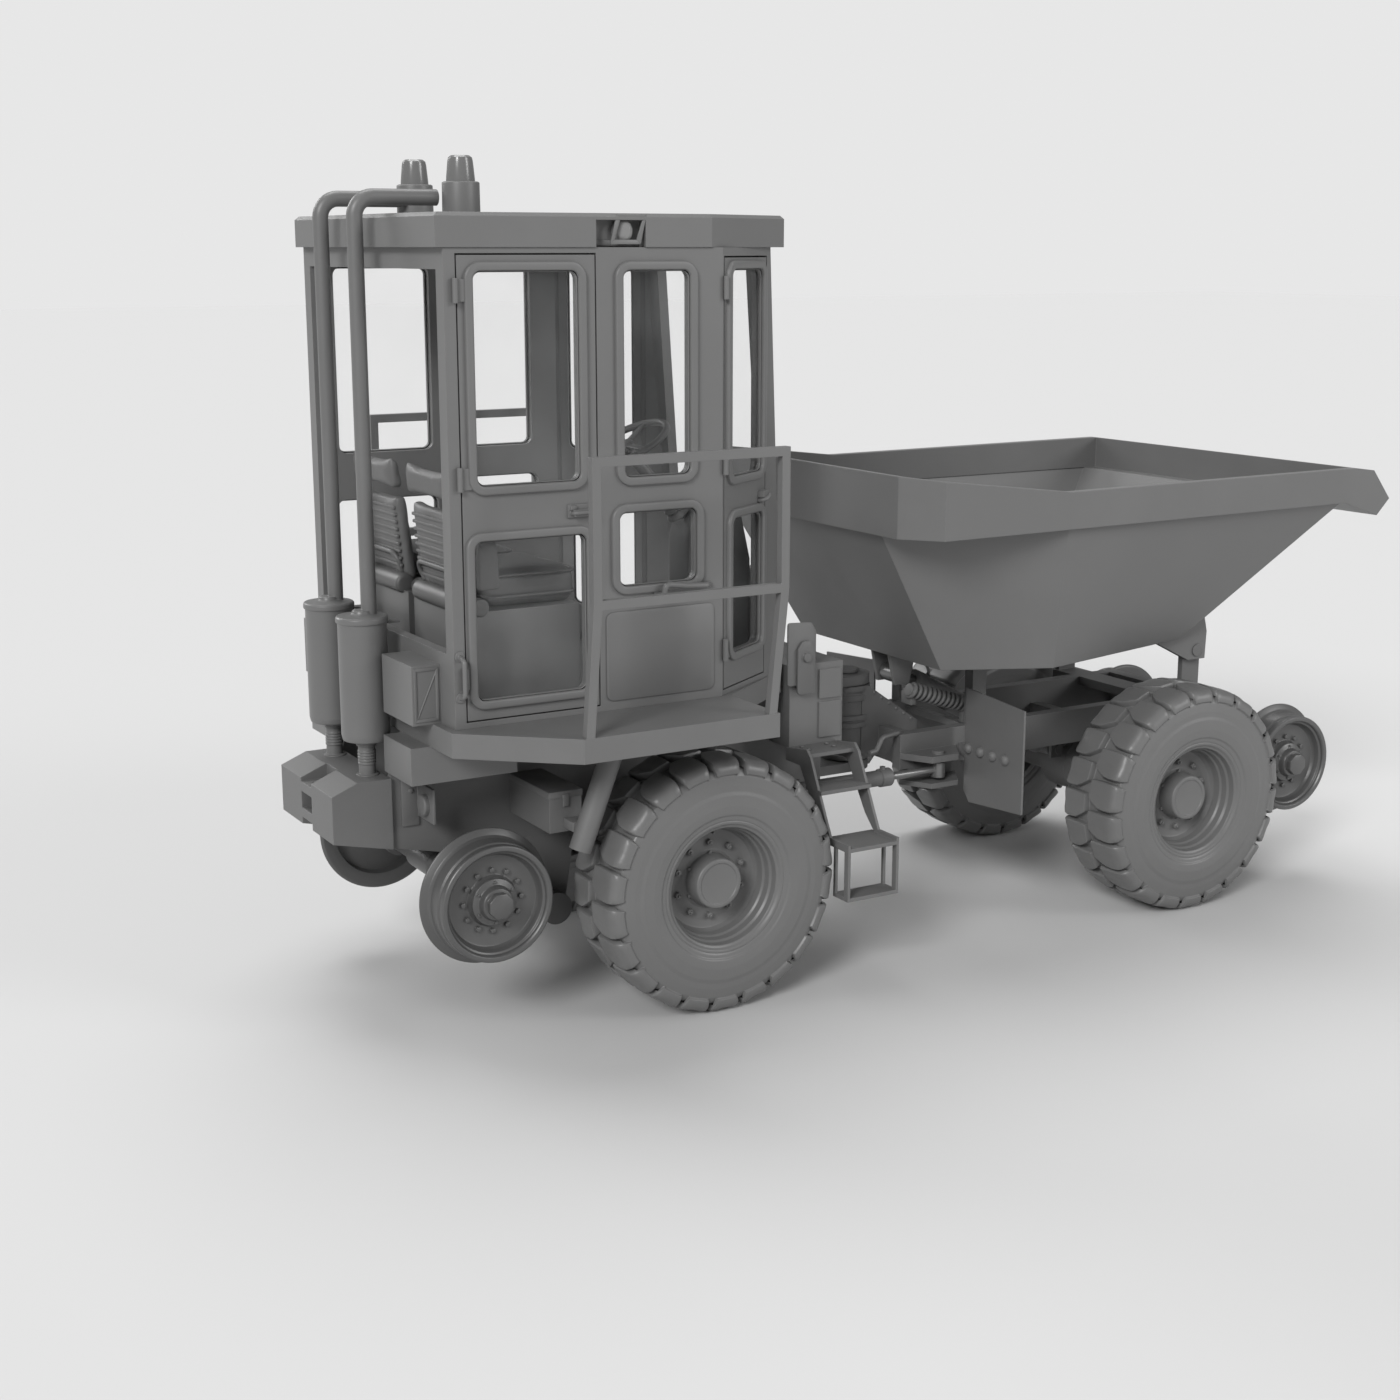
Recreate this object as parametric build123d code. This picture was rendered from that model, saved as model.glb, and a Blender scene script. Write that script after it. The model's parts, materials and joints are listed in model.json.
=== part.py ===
from build123d import *
import math
import os

os.makedirs("parts", exist_ok=True)

# Articulated road and rail site dumper, empty, standing on its four tyres.
# Millimetres and degrees. X runs forward to the skip, Y to the left, Z up, the ground is Z = 0.
# The origin is on the ground under the middle of the overall box. Heights of what the tyres carry are given for
# a hub at RIDE_Z, and all of it rises or sinks with the real hub height.

# Running gear
TYRE_DIAMETER = 1080.0
TYRE_WIDTH = 370.0
TREAD_HALF = 158.0
TYRE_SIDES = 24
LUG_COUNT = 22
LUG_HEIGHT = 34.0
LUG_LENGTH = 116.0
LUG_CROWN_DROP = 1.3
LUG_CENTRE_GAP = 30.0
BEAD_RADIUS = 262.0
RIM_WALL = 12.0
RIM_FLANGE = 22.0
RIM_DISH = 10.0
HUB_RADIUS = 110.0
HUB_CAP_RADIUS = 92.0
HUB_CAP_REACH = 120.0
STUB_RADIUS = 45.0
RUNNING_FIT = 0.05
WHEELBASE = 2600.0
REAR_AXLE_X = -1125.0
RIDE_Z = 541.471
TRACK = 1428.0
AXLE_TUBE_RADIUS = 85.0
AXLE_HOUSING_RADIUS = 140.0

# Rail axles, carried raised clear of the tyres on swinging arms
RAIL_FLANGE_RADIUS = 280.0
RAIL_TREAD_RADIUS = 244.0
RAIL_WHEEL_INNER = 552.0
RAIL_FLANGE_WIDTH = 28.0
RAIL_TREAD_WIDTH = 118.0
RAIL_RIM_WALL = 26.0
RAIL_WEB = 18.0
RAIL_HUB_RADIUS = 62.0
RAIL_CAP_RADIUS = 40.0
RAIL_AXLE_Z = 572.0
RAIL_SHAFT_RADIUS = 45.0
RAIL_PIVOT_Z = 388.0
RAIL_ARM_REACH = 417.0
RAIL_ARM_THICK = 40.0
RAIL_ARM_INNER = 326.0
RAIL_ARM_HEIGHT = 110.0
TORQUE_TUBE_RADIUS = 42.0
REAR_RAIL_X = -2057.0
TYRE_RAIL_GAP = 7.0

# Articulation
PIVOT_X = 60.0
PIVOT_PIN_RADIUS = 40.0
PIVOT_LUG_RADIUS = 110.0
PIVOT_LUG_THICK = 45.0
PIVOT_TOP_Z = 1110.0
PIVOT_LOW_Z = 700.0
PIVOT_GAP = 3.0
STEER_EYE_X = 300.0
STEER_EYE_Y = 410.0
STEER_EYE_Z = 745.0
STEER_ANCHOR_X = -560.0
STEER_ANCHOR_Y = 400.0
STEER_BARREL_RADIUS = 36.0
STEER_ROD_RADIUS = 18.0
STEER_PIN_RADIUS = 16.0
STEER_EYE_HALF = 38.0
STEER_BARREL_LENGTH = 590.0

# Rear frame
CHASSIS_HALF = 280.0
CHASSIS_PLATE = 25.0
CHASSIS_LOW_Z = 690.0
CHASSIS_TANK_OVERLAP = 2.0
TAIL_X = -2330.0
TAIL_REAR_X = -2582.0
TAIL_HALF = 300.0
TAIL_TOP_Z = 1030.0
TAIL_LOW_Z = 792.0
TAIL_HEEL_Z = 735.0
TAIL_CHAMFER_X = 108.0
TAIL_CHAMFER_Z = 44.0
TOW_BORE_RADIUS = 26.0
ENGINE_X = (-2000.0, -1320.0)
ENGINE_HALF = 210.0
ENGINE_Z = (740.0, 1160.0)
TANK_TYRE_GAP = 41.0
TANK_LENGTH = 277.0
TANK_HALF = 450.0
TANK_Z = (960.0, 1325.0)

# Deck and cab
DECK_Z = 1307.0
DECK_THICK = 97.0
DECK_REAR_X = -2270.0
DECK_REAR_HALF = 778.0
DECK_SIDE_X = (-1881.0, -1017.0)
DECK_HALF = 1112.0
CAB_TOP_Z = 3093.0
CAB_REAR_X = -2236.0
CAB_HALF = 738.0
CAB_KNEE_X = -1060.0
CAB_FRONT_TOP = (-693.0, 502.0)
CAB_FRONT_LOW = (-575.0, 426.0)
CAB_WALL = 45.0
DOOR_GAP = 6.0
BEAD_WIDTH = 28.0
BEAD_PROUD = 14.0
BEAD_CORNER = 62.0
GLASS = 6.0
ROOF_THICK = 125.0
ROOF_OVER = 31.0
ROOF_SIDE_HALF = 745.0
ROOF_KNEE_X = -1114.0
ROOF_FRONT = (-640.0, 520.0)
LAMP_X = (-1617.0, -1405.0)
LAMP_DEPTH = 55.0
HINGE_OUT = 14.0
HINGE_RADIUS = 11.0

# Skip
SKIP_WALL = 12.0
RIM_HALF = 942.0
RIM_FOLD = 45.0
SKIP_LOW_Z = 1247.0
TIP_AHEAD = 315.0
TIP_Z = 1170.0
TIP_PIN_RADIUS = 30.0
TIP_EYE_BEHIND = 1145.0
TIP_EYE_Z = 1120.0
TIP_BASE_BEHIND = 175.0
TIP_BASE_Z = 640.0
TIP_BARREL_RADIUS = 58.0
TIP_ROD_RADIUS = 35.0
TIP_BARREL_START = 70.0
TIP_BARREL_END = 960.0

# Front frame
BEAM_Y = (260.0, 320.0)
BEAM_Z = (740.0, 905.0)
BEAM_REAR_X = 150.0
BEAM_AHEAD = 525.0

FRONT_AXLE_X = REAR_AXLE_X + WHEELBASE
TIP_X = FRONT_AXLE_X + TIP_AHEAD
TIP_EYE_X = FRONT_AXLE_X - TIP_EYE_BEHIND
TIP_BASE_X = FRONT_AXLE_X - TIP_BASE_BEHIND
BEAM_X = (BEAM_REAR_X, FRONT_AXLE_X + BEAM_AHEAD)
TYRE_FRONT_X = REAR_AXLE_X + TYRE_DIAMETER / 2
TYRE_BACK_X = REAR_AXLE_X - TYRE_DIAMETER / 2
TANK_X = (TYRE_FRONT_X + TANK_TYRE_GAP, TYRE_FRONT_X + TANK_TYRE_GAP + TANK_LENGTH)
CHASSIS_FRONT_X = TANK_X[1] + CHASSIS_TANK_OVERLAP
FRONT_RAIL_X = FRONT_AXLE_X + TYRE_DIAMETER / 2 + RAIL_FLANGE_RADIUS + TYRE_RAIL_GAP
SIDES = {"left": 1, "right": -1}


def block(x, y, z):
    """Box between two corners, each argument a (low, high) pair."""
    size = [abs(b - a) for a, b in (x, y, z)]
    middle = [(a + b) / 2 for a, b in (x, y, z)]
    return Pos(*middle) * Box(*size)


def rod(start, end, radius):
    """Round bar between two points."""
    a, b = Vector(*start), Vector(*end)
    return Plane(origin=a, z_dir=b - a) * Pos(0, 0, (b - a).length / 2) * Cylinder(radius, (b - a).length)


def side_plate(points, y):
    """Plate from an outline in X and Z, between two Y values."""
    face = make_face(Polyline([(px, -pz) for px, pz in points], close=True))
    solid = extrude(face, amount=y[1] - y[0])
    return Pos(0, y[0], 0) * Rot(-90, 0, 0) * solid


def flat_plate(points, z):
    """Plate from an outline in X and Y, between two Z values."""
    return Pos(0, 0, z[0]) * extrude(make_face(Polyline(points, close=True)), amount=z[1] - z[0])


def turned(profile):
    """Solid turned about the Y axis from an outline of (offset along Y, radius) points."""
    face = make_face(Polyline([(r, o) for o, r in profile], close=True))
    return revolve(face, Axis.Y)


def span(side, band):
    """(low, high) of a band of |Y| on one side of the machine."""
    return tuple(sorted((side * band[0], side * band[1])))


def mirrored(shape):
    return mirror(shape, Plane.XZ)


def pair(shape):
    return [shape, mirrored(shape)]


def fuse(shapes):
    total = shapes[0]
    for shape in shapes[1:]:
        total = total + shape
    return total


def save(name, shapes, lift=None):
    """Write one STEP file holding the solids of one node, raised to the real ride height."""
    lift = RIDE_LIFT if lift is None else lift
    solids = [Pos(0, 0, lift) * s for shape in shapes for s in shape.solids()]
    whole = solids[0] if len(solids) == 1 else Compound(children=solids)
    export_step(whole, f"parts/{name}.step")


# Tyre: a ring of flat facets with two staggered rows of shoulder lugs
def lug(turn, side):
    crown = TYRE_DIAMETER / 2
    base = crown - LUG_HEIGHT - 12
    outline = [
        (side * LUG_CENTRE_GAP / 2, base),
        (side * LUG_CENTRE_GAP / 2, crown - LUG_CROWN_DROP - 1),
        (side * (TREAD_HALF - 20), crown - LUG_CROWN_DROP),
        (side * TREAD_HALF, crown - 10),
        (side * (TREAD_HALF + 18), crown - 38),
        (side * (TYRE_WIDTH / 2 - 4), crown - 58),
        (side * TREAD_HALF, crown - 62),
    ]
    face = make_face(Polyline([(0, o, r) for o, r in outline], close=True))
    solid = extrude(face, amount=LUG_LENGTH / 2, both=True)
    return Rot(0, turn, 0) * solid


def tyre():
    carcass = TYRE_DIAMETER / 2 - LUG_HEIGHT
    half = TYRE_WIDTH / 2
    # (offset from the middle plane, corner radius) of each ring of facets
    rings = [
        (half - 34, BEAD_RADIUS + 14),
        (half, BEAD_RADIUS + 70),
        (half - 2, BEAD_RADIUS + 160),
        (TREAD_HALF, carcass - 14),
    ]
    rings = [(-o, r) for o, r in rings] + [(o, r) for o, r in reversed(rings)]
    sections = [Plane(origin=(0, o, 0), x_dir=(1, 0, 0), z_dir=(0, 1, 0)) * RegularPolygon(r, TYRE_SIDES)
                for o, r in rings]
    ring = loft(sections, ruled=True)
    bore = Plane(origin=(0, -half, 0), x_dir=(1, 0, 0), z_dir=(0, 1, 0)) * RegularPolygon(
        BEAD_RADIUS, TYRE_SIDES, major_radius=False)
    ring = ring - extrude(bore, amount=TYRE_WIDTH)
    pitch = 360 / LUG_COUNT
    lugs = [lug(pitch * (i + (0.5 if side > 0 else 0)), side) for side in (1, -1) for i in range(LUG_COUNT)]
    return ring + lugs


TYRE = tyre()
AXLE_Z = -TYRE.bounding_box().min.Z
RIDE_LIFT = AXLE_Z - RIDE_Z


# Wheel: barrel, dished web, hub and cap, turned as one solid about the wheel's axis
def wheel():
    seat = BEAD_RADIUS - 1
    inner = seat - RIM_WALL
    edge = TYRE_WIDTH / 2 - 20
    return turned([
        (-edge, inner), (-edge, seat + 6), (-edge + 8, seat), (edge - 8, seat), (edge - 8, seat + RIM_FLANGE),
        (edge + 4, seat + RIM_FLANGE), (edge + 4, inner + 4), (RIM_DISH + 60, inner), (RIM_DISH + 16, inner - 40),
        (RIM_DISH + 16, HUB_RADIUS + 18), (RIM_DISH + 44, HUB_RADIUS), (HUB_CAP_REACH - 14, HUB_CAP_RADIUS),
        (HUB_CAP_REACH, HUB_CAP_RADIUS - 16), (HUB_CAP_REACH, 0), (-14, 0), (-14, STUB_RADIUS + RUNNING_FIT),
        (-112, STUB_RADIUS + RUNNING_FIT), (-112, HUB_RADIUS), (RIM_DISH - 4, HUB_RADIUS + 10),
        (RIM_DISH - 4, inner - 60), (RIM_DISH + 44, inner),
    ])


WHEEL = wheel()
for axle, axle_x in {"rear": REAR_AXLE_X, "front": FRONT_AXLE_X}.items():
    for name, side in SIDES.items():
        place = Pos(axle_x, side * TRACK / 2, AXLE_Z) * Rot(0, 0, 0 if side > 0 else 180)
        save(f"tyre_{axle}_{name}", [place * TYRE], 0)
        save(f"wheel_{axle}_{name}", [place * WHEEL], 0)


# Drive axle: tube, middle housing, end flanges and stub shafts, with pads up to the frame
def drive_axle(axle_x, pad_y, pad_top):
    half = TRACK / 2
    flange_out = half - 112 - 5
    parts = [
        turned([(-flange_out, 0), (-flange_out, AXLE_TUBE_RADIUS), (flange_out, AXLE_TUBE_RADIUS), (flange_out, 0)]),
        turned([(-150, AXLE_TUBE_RADIUS - 5), (-90, AXLE_HOUSING_RADIUS), (90, AXLE_HOUSING_RADIUS),
                (150, AXLE_TUBE_RADIUS - 5)]),
        turned([(-(half - 20), 0), (-(half - 20), STUB_RADIUS), (half - 20, STUB_RADIUS), (half - 20, 0)]),
    ]
    for side in (1, -1):
        parts.append(turned([(side * (flange_out - 30), 0), (side * (flange_out - 30), 125),
                             (side * flange_out, 125), (side * flange_out, 0)]))
    body = Pos(axle_x, 0, RIDE_Z) * fuse(parts)
    pads = [block((axle_x - 95, axle_x + 95), (s * pad_y[0], s * pad_y[1]), (RIDE_Z, pad_top)) for s in (1, -1)]
    return body + pads


save("rear_axle", [drive_axle(REAR_AXLE_X, (200, CHASSIS_HALF), CHASSIS_LOW_Z)])
save("front_axle", [drive_axle(FRONT_AXLE_X, BEAM_Y, BEAM_Z[0])])


# Rail axle: shaft with a flanged wheel at each end, and the arms and torque tube that swing it
def rail_wheel():
    tread_out = RAIL_FLANGE_WIDTH + RAIL_TREAD_WIDTH
    inner = RAIL_TREAD_RADIUS - RAIL_RIM_WALL
    hub_out = tread_out + 34
    return turned([
        (0, RAIL_SHAFT_RADIUS), (0, RAIL_HUB_RADIUS + 10), (30, RAIL_HUB_RADIUS + 20), (50, inner), (0, inner),
        (0, RAIL_FLANGE_RADIUS - 10), (8, RAIL_FLANGE_RADIUS), (RAIL_FLANGE_WIDTH - 12, RAIL_FLANGE_RADIUS),
        (RAIL_FLANGE_WIDTH, RAIL_TREAD_RADIUS + 4), (tread_out, RAIL_TREAD_RADIUS - 4), (tread_out, inner),
        (50 + RAIL_WEB, inner), (30 + RAIL_WEB, RAIL_HUB_RADIUS + 34), (tread_out - 40, RAIL_HUB_RADIUS + 10),
        (tread_out, RAIL_HUB_RADIUS), (tread_out, RAIL_CAP_RADIUS + 6), (hub_out, RAIL_CAP_RADIUS), (hub_out, 0),
        (tread_out - 20, 0), (tread_out - 20, RAIL_SHAFT_RADIUS),
    ])


def rail_set(label, axle_x, pivot_x, hang):
    wheel_left = Pos(axle_x, RAIL_WHEEL_INNER, RAIL_AXLE_Z) * rail_wheel()
    shaft_end = RAIL_WHEEL_INNER + RAIL_FLANGE_WIDTH + RAIL_TREAD_WIDTH - 20
    shaft = rod((axle_x, -shaft_end, RAIL_AXLE_Z), (axle_x, shaft_end, RAIL_AXLE_Z), RAIL_SHAFT_RADIUS)
    save(f"{label}_rail_axle", [fuse([shaft] + pair(wheel_left))])
    arm_outer = RAIL_ARM_INNER + RAIL_ARM_THICK
    arms = [rod((pivot_x, -arm_outer, RAIL_PIVOT_Z), (pivot_x, arm_outer, RAIL_PIVOT_Z), TORQUE_TUBE_RADIUS)]
    for side in (1, -1):
        near, far = side * RAIL_ARM_INNER, side * arm_outer
        half = RAIL_ARM_HEIGHT / 2
        arms.append(side_plate([(pivot_x, RAIL_PIVOT_Z - half), (pivot_x, RAIL_PIVOT_Z + half),
                                (axle_x, RAIL_AXLE_Z + half), (axle_x, RAIL_AXLE_Z - half)],
                               span(side, (RAIL_ARM_INNER, arm_outer))))
        for cx, cz in ((pivot_x, RAIL_PIVOT_Z), (axle_x, RAIL_AXLE_Z)):
            arms.append(rod((cx, near, cz), (cx, far, cz), half + 14))
    swung = fuse(arms) - rod((axle_x, -arm_outer - 1, RAIL_AXLE_Z), (axle_x, arm_outer + 1, RAIL_AXLE_Z),
                             RAIL_SHAFT_RADIUS + RUNNING_FIT)
    save(f"{label}_rail_arms", [swung])
    hangers = []
    for side in (1, -1):
        hangers.append(side_plate([(pivot_x - 130, hang), (pivot_x + 130, hang), (pivot_x + 70, RAIL_PIVOT_Z - 60),
                                   (pivot_x - 70, RAIL_PIVOT_Z - 60)], span(side, (CHASSIS_HALF - 30, CHASSIS_HALF))))
    hangers.append(rod((pivot_x, -CHASSIS_HALF + 10, RAIL_PIVOT_Z), (pivot_x, CHASSIS_HALF - 10, RAIL_PIVOT_Z), 88))
    bore = rod((pivot_x, -CHASSIS_HALF - 1, RAIL_PIVOT_Z), (pivot_x, CHASSIS_HALF + 1, RAIL_PIVOT_Z),
               TORQUE_TUBE_RADIUS + RUNNING_FIT)
    save(f"{label}_rail_actuator", [fuse(hangers) - bore])


REAR_RAIL_PIVOT_X = REAR_RAIL_X + RAIL_ARM_REACH
FRONT_RAIL_PIVOT_X = FRONT_RAIL_X - RAIL_ARM_REACH
rail_set("rear", REAR_RAIL_X, REAR_RAIL_PIVOT_X, CHASSIS_LOW_Z)
rail_set("front", FRONT_RAIL_X, FRONT_RAIL_PIVOT_X, BEAM_Z[0])


# Rear frame: two side plates, floor, bulkhead and the pair of pivot lugs
def pivot_lug(low):
    top = low + PIVOT_LUG_THICK
    tongue = block((CHASSIS_FRONT_X - CHASSIS_PLATE, PIVOT_X), (-PIVOT_LUG_RADIUS, PIVOT_LUG_RADIUS), (low, top))
    eye = rod((PIVOT_X, 0, low), (PIVOT_X, 0, top), PIVOT_LUG_RADIUS)
    return tongue + eye - rod((PIVOT_X, 0, low - 1), (PIVOT_X, 0, top + 1), PIVOT_PIN_RADIUS)


def rear_chassis():
    deck_low = DECK_Z - DECK_THICK
    plate_y = (CHASSIS_HALF - CHASSIS_PLATE, CHASSIS_HALF)
    outline = [(TAIL_X, TAIL_HEEL_Z), (TAIL_X, TAIL_TOP_Z), (TAIL_X + 60, deck_low), (TANK_X[0], deck_low),
               (TANK_X[0], TANK_Z[0]), (CHASSIS_FRONT_X, TANK_Z[0]), (CHASSIS_FRONT_X, CHASSIS_LOW_Z),
               (TAIL_X + 200, CHASSIS_LOW_Z)]
    left = side_plate(outline, plate_y)
    floor = block((TAIL_X + 200, CHASSIS_FRONT_X), (-CHASSIS_HALF, CHASSIS_HALF), (CHASSIS_LOW_Z, CHASSIS_LOW_Z + 25))
    bulkhead = block((CHASSIS_FRONT_X - CHASSIS_PLATE, CHASSIS_FRONT_X), (-CHASSIS_HALF, CHASSIS_HALF),
                     (CHASSIS_LOW_Z, TANK_Z[0]))
    riser = block((TANK_X[1], TANK_X[1] + CHASSIS_PLATE), (-PIVOT_LUG_RADIUS, PIVOT_LUG_RADIUS),
                  (TANK_Z[0] - 120, PIVOT_TOP_Z + PIVOT_LUG_THICK))
    lugs = [pivot_lug(PIVOT_LOW_Z), pivot_lug(PIVOT_TOP_Z)]
    anchors = []
    for side in (1, -1):
        for low in (STEER_EYE_Z - 62, STEER_EYE_Z + 42):
            anchors.append(block((STEER_ANCHOR_X - 50, STEER_ANCHOR_X + 50),
                                 (side * (CHASSIS_HALF - 5), side * (STEER_ANCHOR_Y + 45)), (low, low + 20)))
            anchors.append(block((STEER_ANCHOR_X - 50, STEER_ANCHOR_X - 36),
                                 (side * (CHASSIS_HALF - 5), side * (STEER_ANCHOR_Y + 45)),
                                 (STEER_EYE_Z - 62, STEER_EYE_Z + 62)))
        anchors.append(rod((STEER_ANCHOR_X, side * STEER_ANCHOR_Y, STEER_EYE_Z - 70),
                           (STEER_ANCHOR_X, side * STEER_ANCHOR_Y, STEER_EYE_Z + 70), STEER_PIN_RADIUS))
    frame = fuse([left, mirrored(left), floor, bulkhead, riser] + lugs + anchors)
    return frame - block((TANK_X[0], TANK_X[1]), (-TANK_HALF, TANK_HALF), TANK_Z)


save("rear_chassis", [rear_chassis()])

# Tail block with a towing jaw: a slot for the drawbar's eye and a bore for its pin
JAW_HALF = 60.0
JAW_SLOT_Z = (860.0, 930.0)
JAW_PLATE_Z = (820.0, 970.0)
JAW_PIN_BEHIND = 55.0
tail = side_plate([(TAIL_REAR_X, TAIL_LOW_Z), (TAIL_REAR_X, TAIL_TOP_Z - TAIL_CHAMFER_Z),
                   (TAIL_REAR_X + TAIL_CHAMFER_X, TAIL_TOP_Z), (TAIL_X, TAIL_TOP_Z), (TAIL_X, TAIL_HEEL_Z)],
                  (-TAIL_HALF, TAIL_HALF))
tail = tail - block((TAIL_REAR_X - 1, TAIL_REAR_X + 110), (-JAW_HALF, JAW_HALF), JAW_SLOT_Z)
jaw_x = TAIL_REAR_X + JAW_PIN_BEHIND
tail = tail - [block((jaw_x - JAW_HALF, jaw_x + JAW_HALF), (-JAW_HALF, JAW_HALF), recess)
               for recess in ((TAIL_HEEL_Z - 1, JAW_PLATE_Z[0]), (JAW_PLATE_Z[1], TAIL_TOP_Z + 1))]
tail = tail - rod((jaw_x, 0, TAIL_HEEL_Z), (jaw_x, 0, TAIL_TOP_Z), TOW_BORE_RADIUS)
save("tail_block", [tail])
save("engine_block", [block(ENGINE_X, (-ENGINE_HALF, ENGINE_HALF), ENGINE_Z)])
EAR_X = (TANK_X[0] + 124, TANK_X[0] + 194)
ear_middle = (EAR_X[0] + EAR_X[1]) / 2
tank_ears = [block(EAR_X, (290, 305), (TANK_Z[1] - 40, TANK_Z[1] + 115)),
             block(EAR_X, (325, 340), (TANK_Z[1] - 40, TANK_Z[1] + 115)),
             rod((ear_middle, 280, TANK_Z[1] + 75), (ear_middle, 350, TANK_Z[1] + 75), 18)]
tank = block(TANK_X, (-TANK_HALF, TANK_HALF), TANK_Z)
TANK_PANEL_X = (TANK_X[0] + 150, TANK_X[1] - 12)
TANK_PANEL_Y = (TANK_HALF, TANK_HALF + 8)
# raised panels on the outer ends of the tank: (low Z, high Z)
for panel in ((TANK_Z[0] + 30, TANK_Z[0] + 190), (TANK_Z[0] + 205, TANK_Z[1] - 30)):
    tank = tank + [block(TANK_PANEL_X, span(side, TANK_PANEL_Y), panel) for side in (1, -1)]
save("hydraulic_tank", [fuse([tank] + [s for ear in tank_ears for s in pair(ear)])])

# Deck: a flat platform whose rear and front corners are cut off
deck_left = [(DECK_REAR_X, DECK_REAR_HALF), (DECK_SIDE_X[0], DECK_HALF), (DECK_SIDE_X[1], DECK_HALF),
             (DECK_SIDE_X[1], CAB_HALF), (CAB_FRONT_LOW[0], CAB_FRONT_LOW[1])]
deck_plan = deck_left + [(px, -py) for px, py in reversed(deck_left)]
save("deck", [flat_plate(deck_plan, (DECK_Z - DECK_THICK, DECK_Z))])


# Cab shell: walls between the floor outline and the roof outline, with door and window openings
def cab_outline(inset, front, z):
    knee = inset * math.tan(math.radians(16.4))
    left = [(CAB_REAR_X + inset, CAB_HALF - inset), (CAB_KNEE_X - knee, CAB_HALF - inset),
            (front[0] - inset, front[1] - inset * 0.64)]
    points = left + [(px, -py) for px, py in reversed(left)]
    return make_face(Polyline([(px, py, z) for px, py in points], close=True))


def cab_solid(inset, low, high):
    return loft([cab_outline(inset, CAB_FRONT_LOW, low), cab_outline(inset, CAB_FRONT_TOP, high)], ruled=True)


QUARTER_TURN = math.degrees(math.atan2(CAB_FRONT_TOP[1] - CAB_HALF, CAB_FRONT_TOP[0] - CAB_KNEE_X))
QUARTER = Plane(origin=(CAB_KNEE_X, CAB_HALF, 0), x_dir=(math.cos(math.radians(QUARTER_TURN)),
                math.sin(math.radians(QUARTER_TURN)), 0), z_dir=(0, 0, 1))
SIDE = Plane(origin=(0, CAB_HALF, 0), x_dir=(1, 0, 0), z_dir=(0, 0, 1))

# Side panels: name, plane they lie in, run along it, height, and their window openings
SIDE_DOOR = {"run": (-2190.0, -1616.0), "rise": (1330.0, 3072.0),
             "windows": [((-2128, -1692), (2222, 3012)), ((-2146, -1672), (1406, 2022))]}
MID_PANEL = {"windows": [((-1508, -1208), (2222, 3012)), ((-1532, -1180), (1796, 2092))]}
QUARTER_DOOR = {"run": (10.0, 402.0), "rise": (1330.0, 3060.0),
                "windows": [((60, 354), (2192, 3012)), ((72, 360), (1470, 2030))]}


def panel_block(plane, run, rise, depth):
    """Box in a wall plane: along the wall, into the cab by depth, and up."""
    return plane * block(run, (-depth[1], -depth[0]), rise)


def rounded_hole(plane, run, rise, radius=38.0):
    """Window cut through the wall, with round corners."""
    length, height = run[1] - run[0], rise[1] - rise[0]
    box = Box(length, 4 * CAB_WALL, height)
    box = fillet(box.edges().filter_by(Axis.Y), radius)
    return plane * Pos((run[0] + run[1]) / 2, -CAB_WALL / 2, (rise[0] + rise[1]) / 2) * box


def window_bead(plane, run, rise):
    """Raised frame around a window, proud of the wall."""
    grown = ((run[0] - BEAD_WIDTH, run[1] + BEAD_WIDTH), (rise[0] - BEAD_WIDTH, rise[1] + BEAD_WIDTH))
    outer = rounded_hole(plane, *grown, BEAD_CORNER)
    band = panel_block(plane, *grown, (-BEAD_PROUD, 3))
    return (outer & band) - rounded_hole(plane, run, rise)


def cab_frame():
    shell = cab_solid(0, DECK_Z, CAB_TOP_Z) - cab_solid(CAB_WALL, DECK_Z - 1, CAB_TOP_Z + 1)
    beads = [b for run, rise in MID_PANEL["windows"] for b in pair(window_bead(SIDE, run, rise))]
    shell = shell + beads
    cuts = []
    for plane, panel in ((SIDE, SIDE_DOOR), (QUARTER, QUARTER_DOOR)):
        cuts.append(panel_block(plane, panel["run"], panel["rise"], (-50, CAB_WALL + 50)))
    for run, rise in MID_PANEL["windows"]:
        cuts.append(rounded_hole(SIDE, run, rise))
    cuts = [c for cut in cuts for c in pair(cut)]
    cuts.append(block((CAB_REAR_X - 50, CAB_REAR_X + CAB_WALL + 5), (-668, 668), (1590, 3015)))
    cuts.append(block((-800, -500), (-375, 375), (1740, 3020)))
    return shell - cuts


CAB = cab_frame()
save("cab_frame", [CAB])


# Doors: a panel as thick as the wall, with its windows cut, hinge knuckles and a handle
def door(plane, panel, handle_run, handle_z):
    run = (panel["run"][0] + DOOR_GAP, panel["run"][1] - DOOR_GAP)
    rise = (panel["rise"][0] + DOOR_GAP, panel["rise"][1] - DOOR_GAP)
    leaf = panel_block(plane, run, rise, (0, CAB_WALL))
    leaf = leaf + [window_bead(plane, w_run, w_rise) for w_run, w_rise in panel["windows"]]
    leaf = leaf - [rounded_hole(plane, w_run, w_rise) for w_run, w_rise in panel["windows"]]
    hinge_run = panel["run"][0] - 7
    knuckles = []
    for height in (1500, 2255, 2940):
        knuckles.append(plane * rod((hinge_run, HINGE_OUT, height - 45), (hinge_run, HINGE_OUT, height + 45),
                                    HINGE_RADIUS))
        knuckles.append(plane * block((hinge_run, hinge_run + 50), (1, 9), (height - 40, height + 40)))
        knuckles.append(plane * block((hinge_run + 18, hinge_run + 50), (-2, 9), (height - 40, height + 40)))
    handle = plane * block(handle_run, (-2, 30), (handle_z, handle_z + 26))
    return fuse([leaf] + knuckles + [handle])


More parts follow.
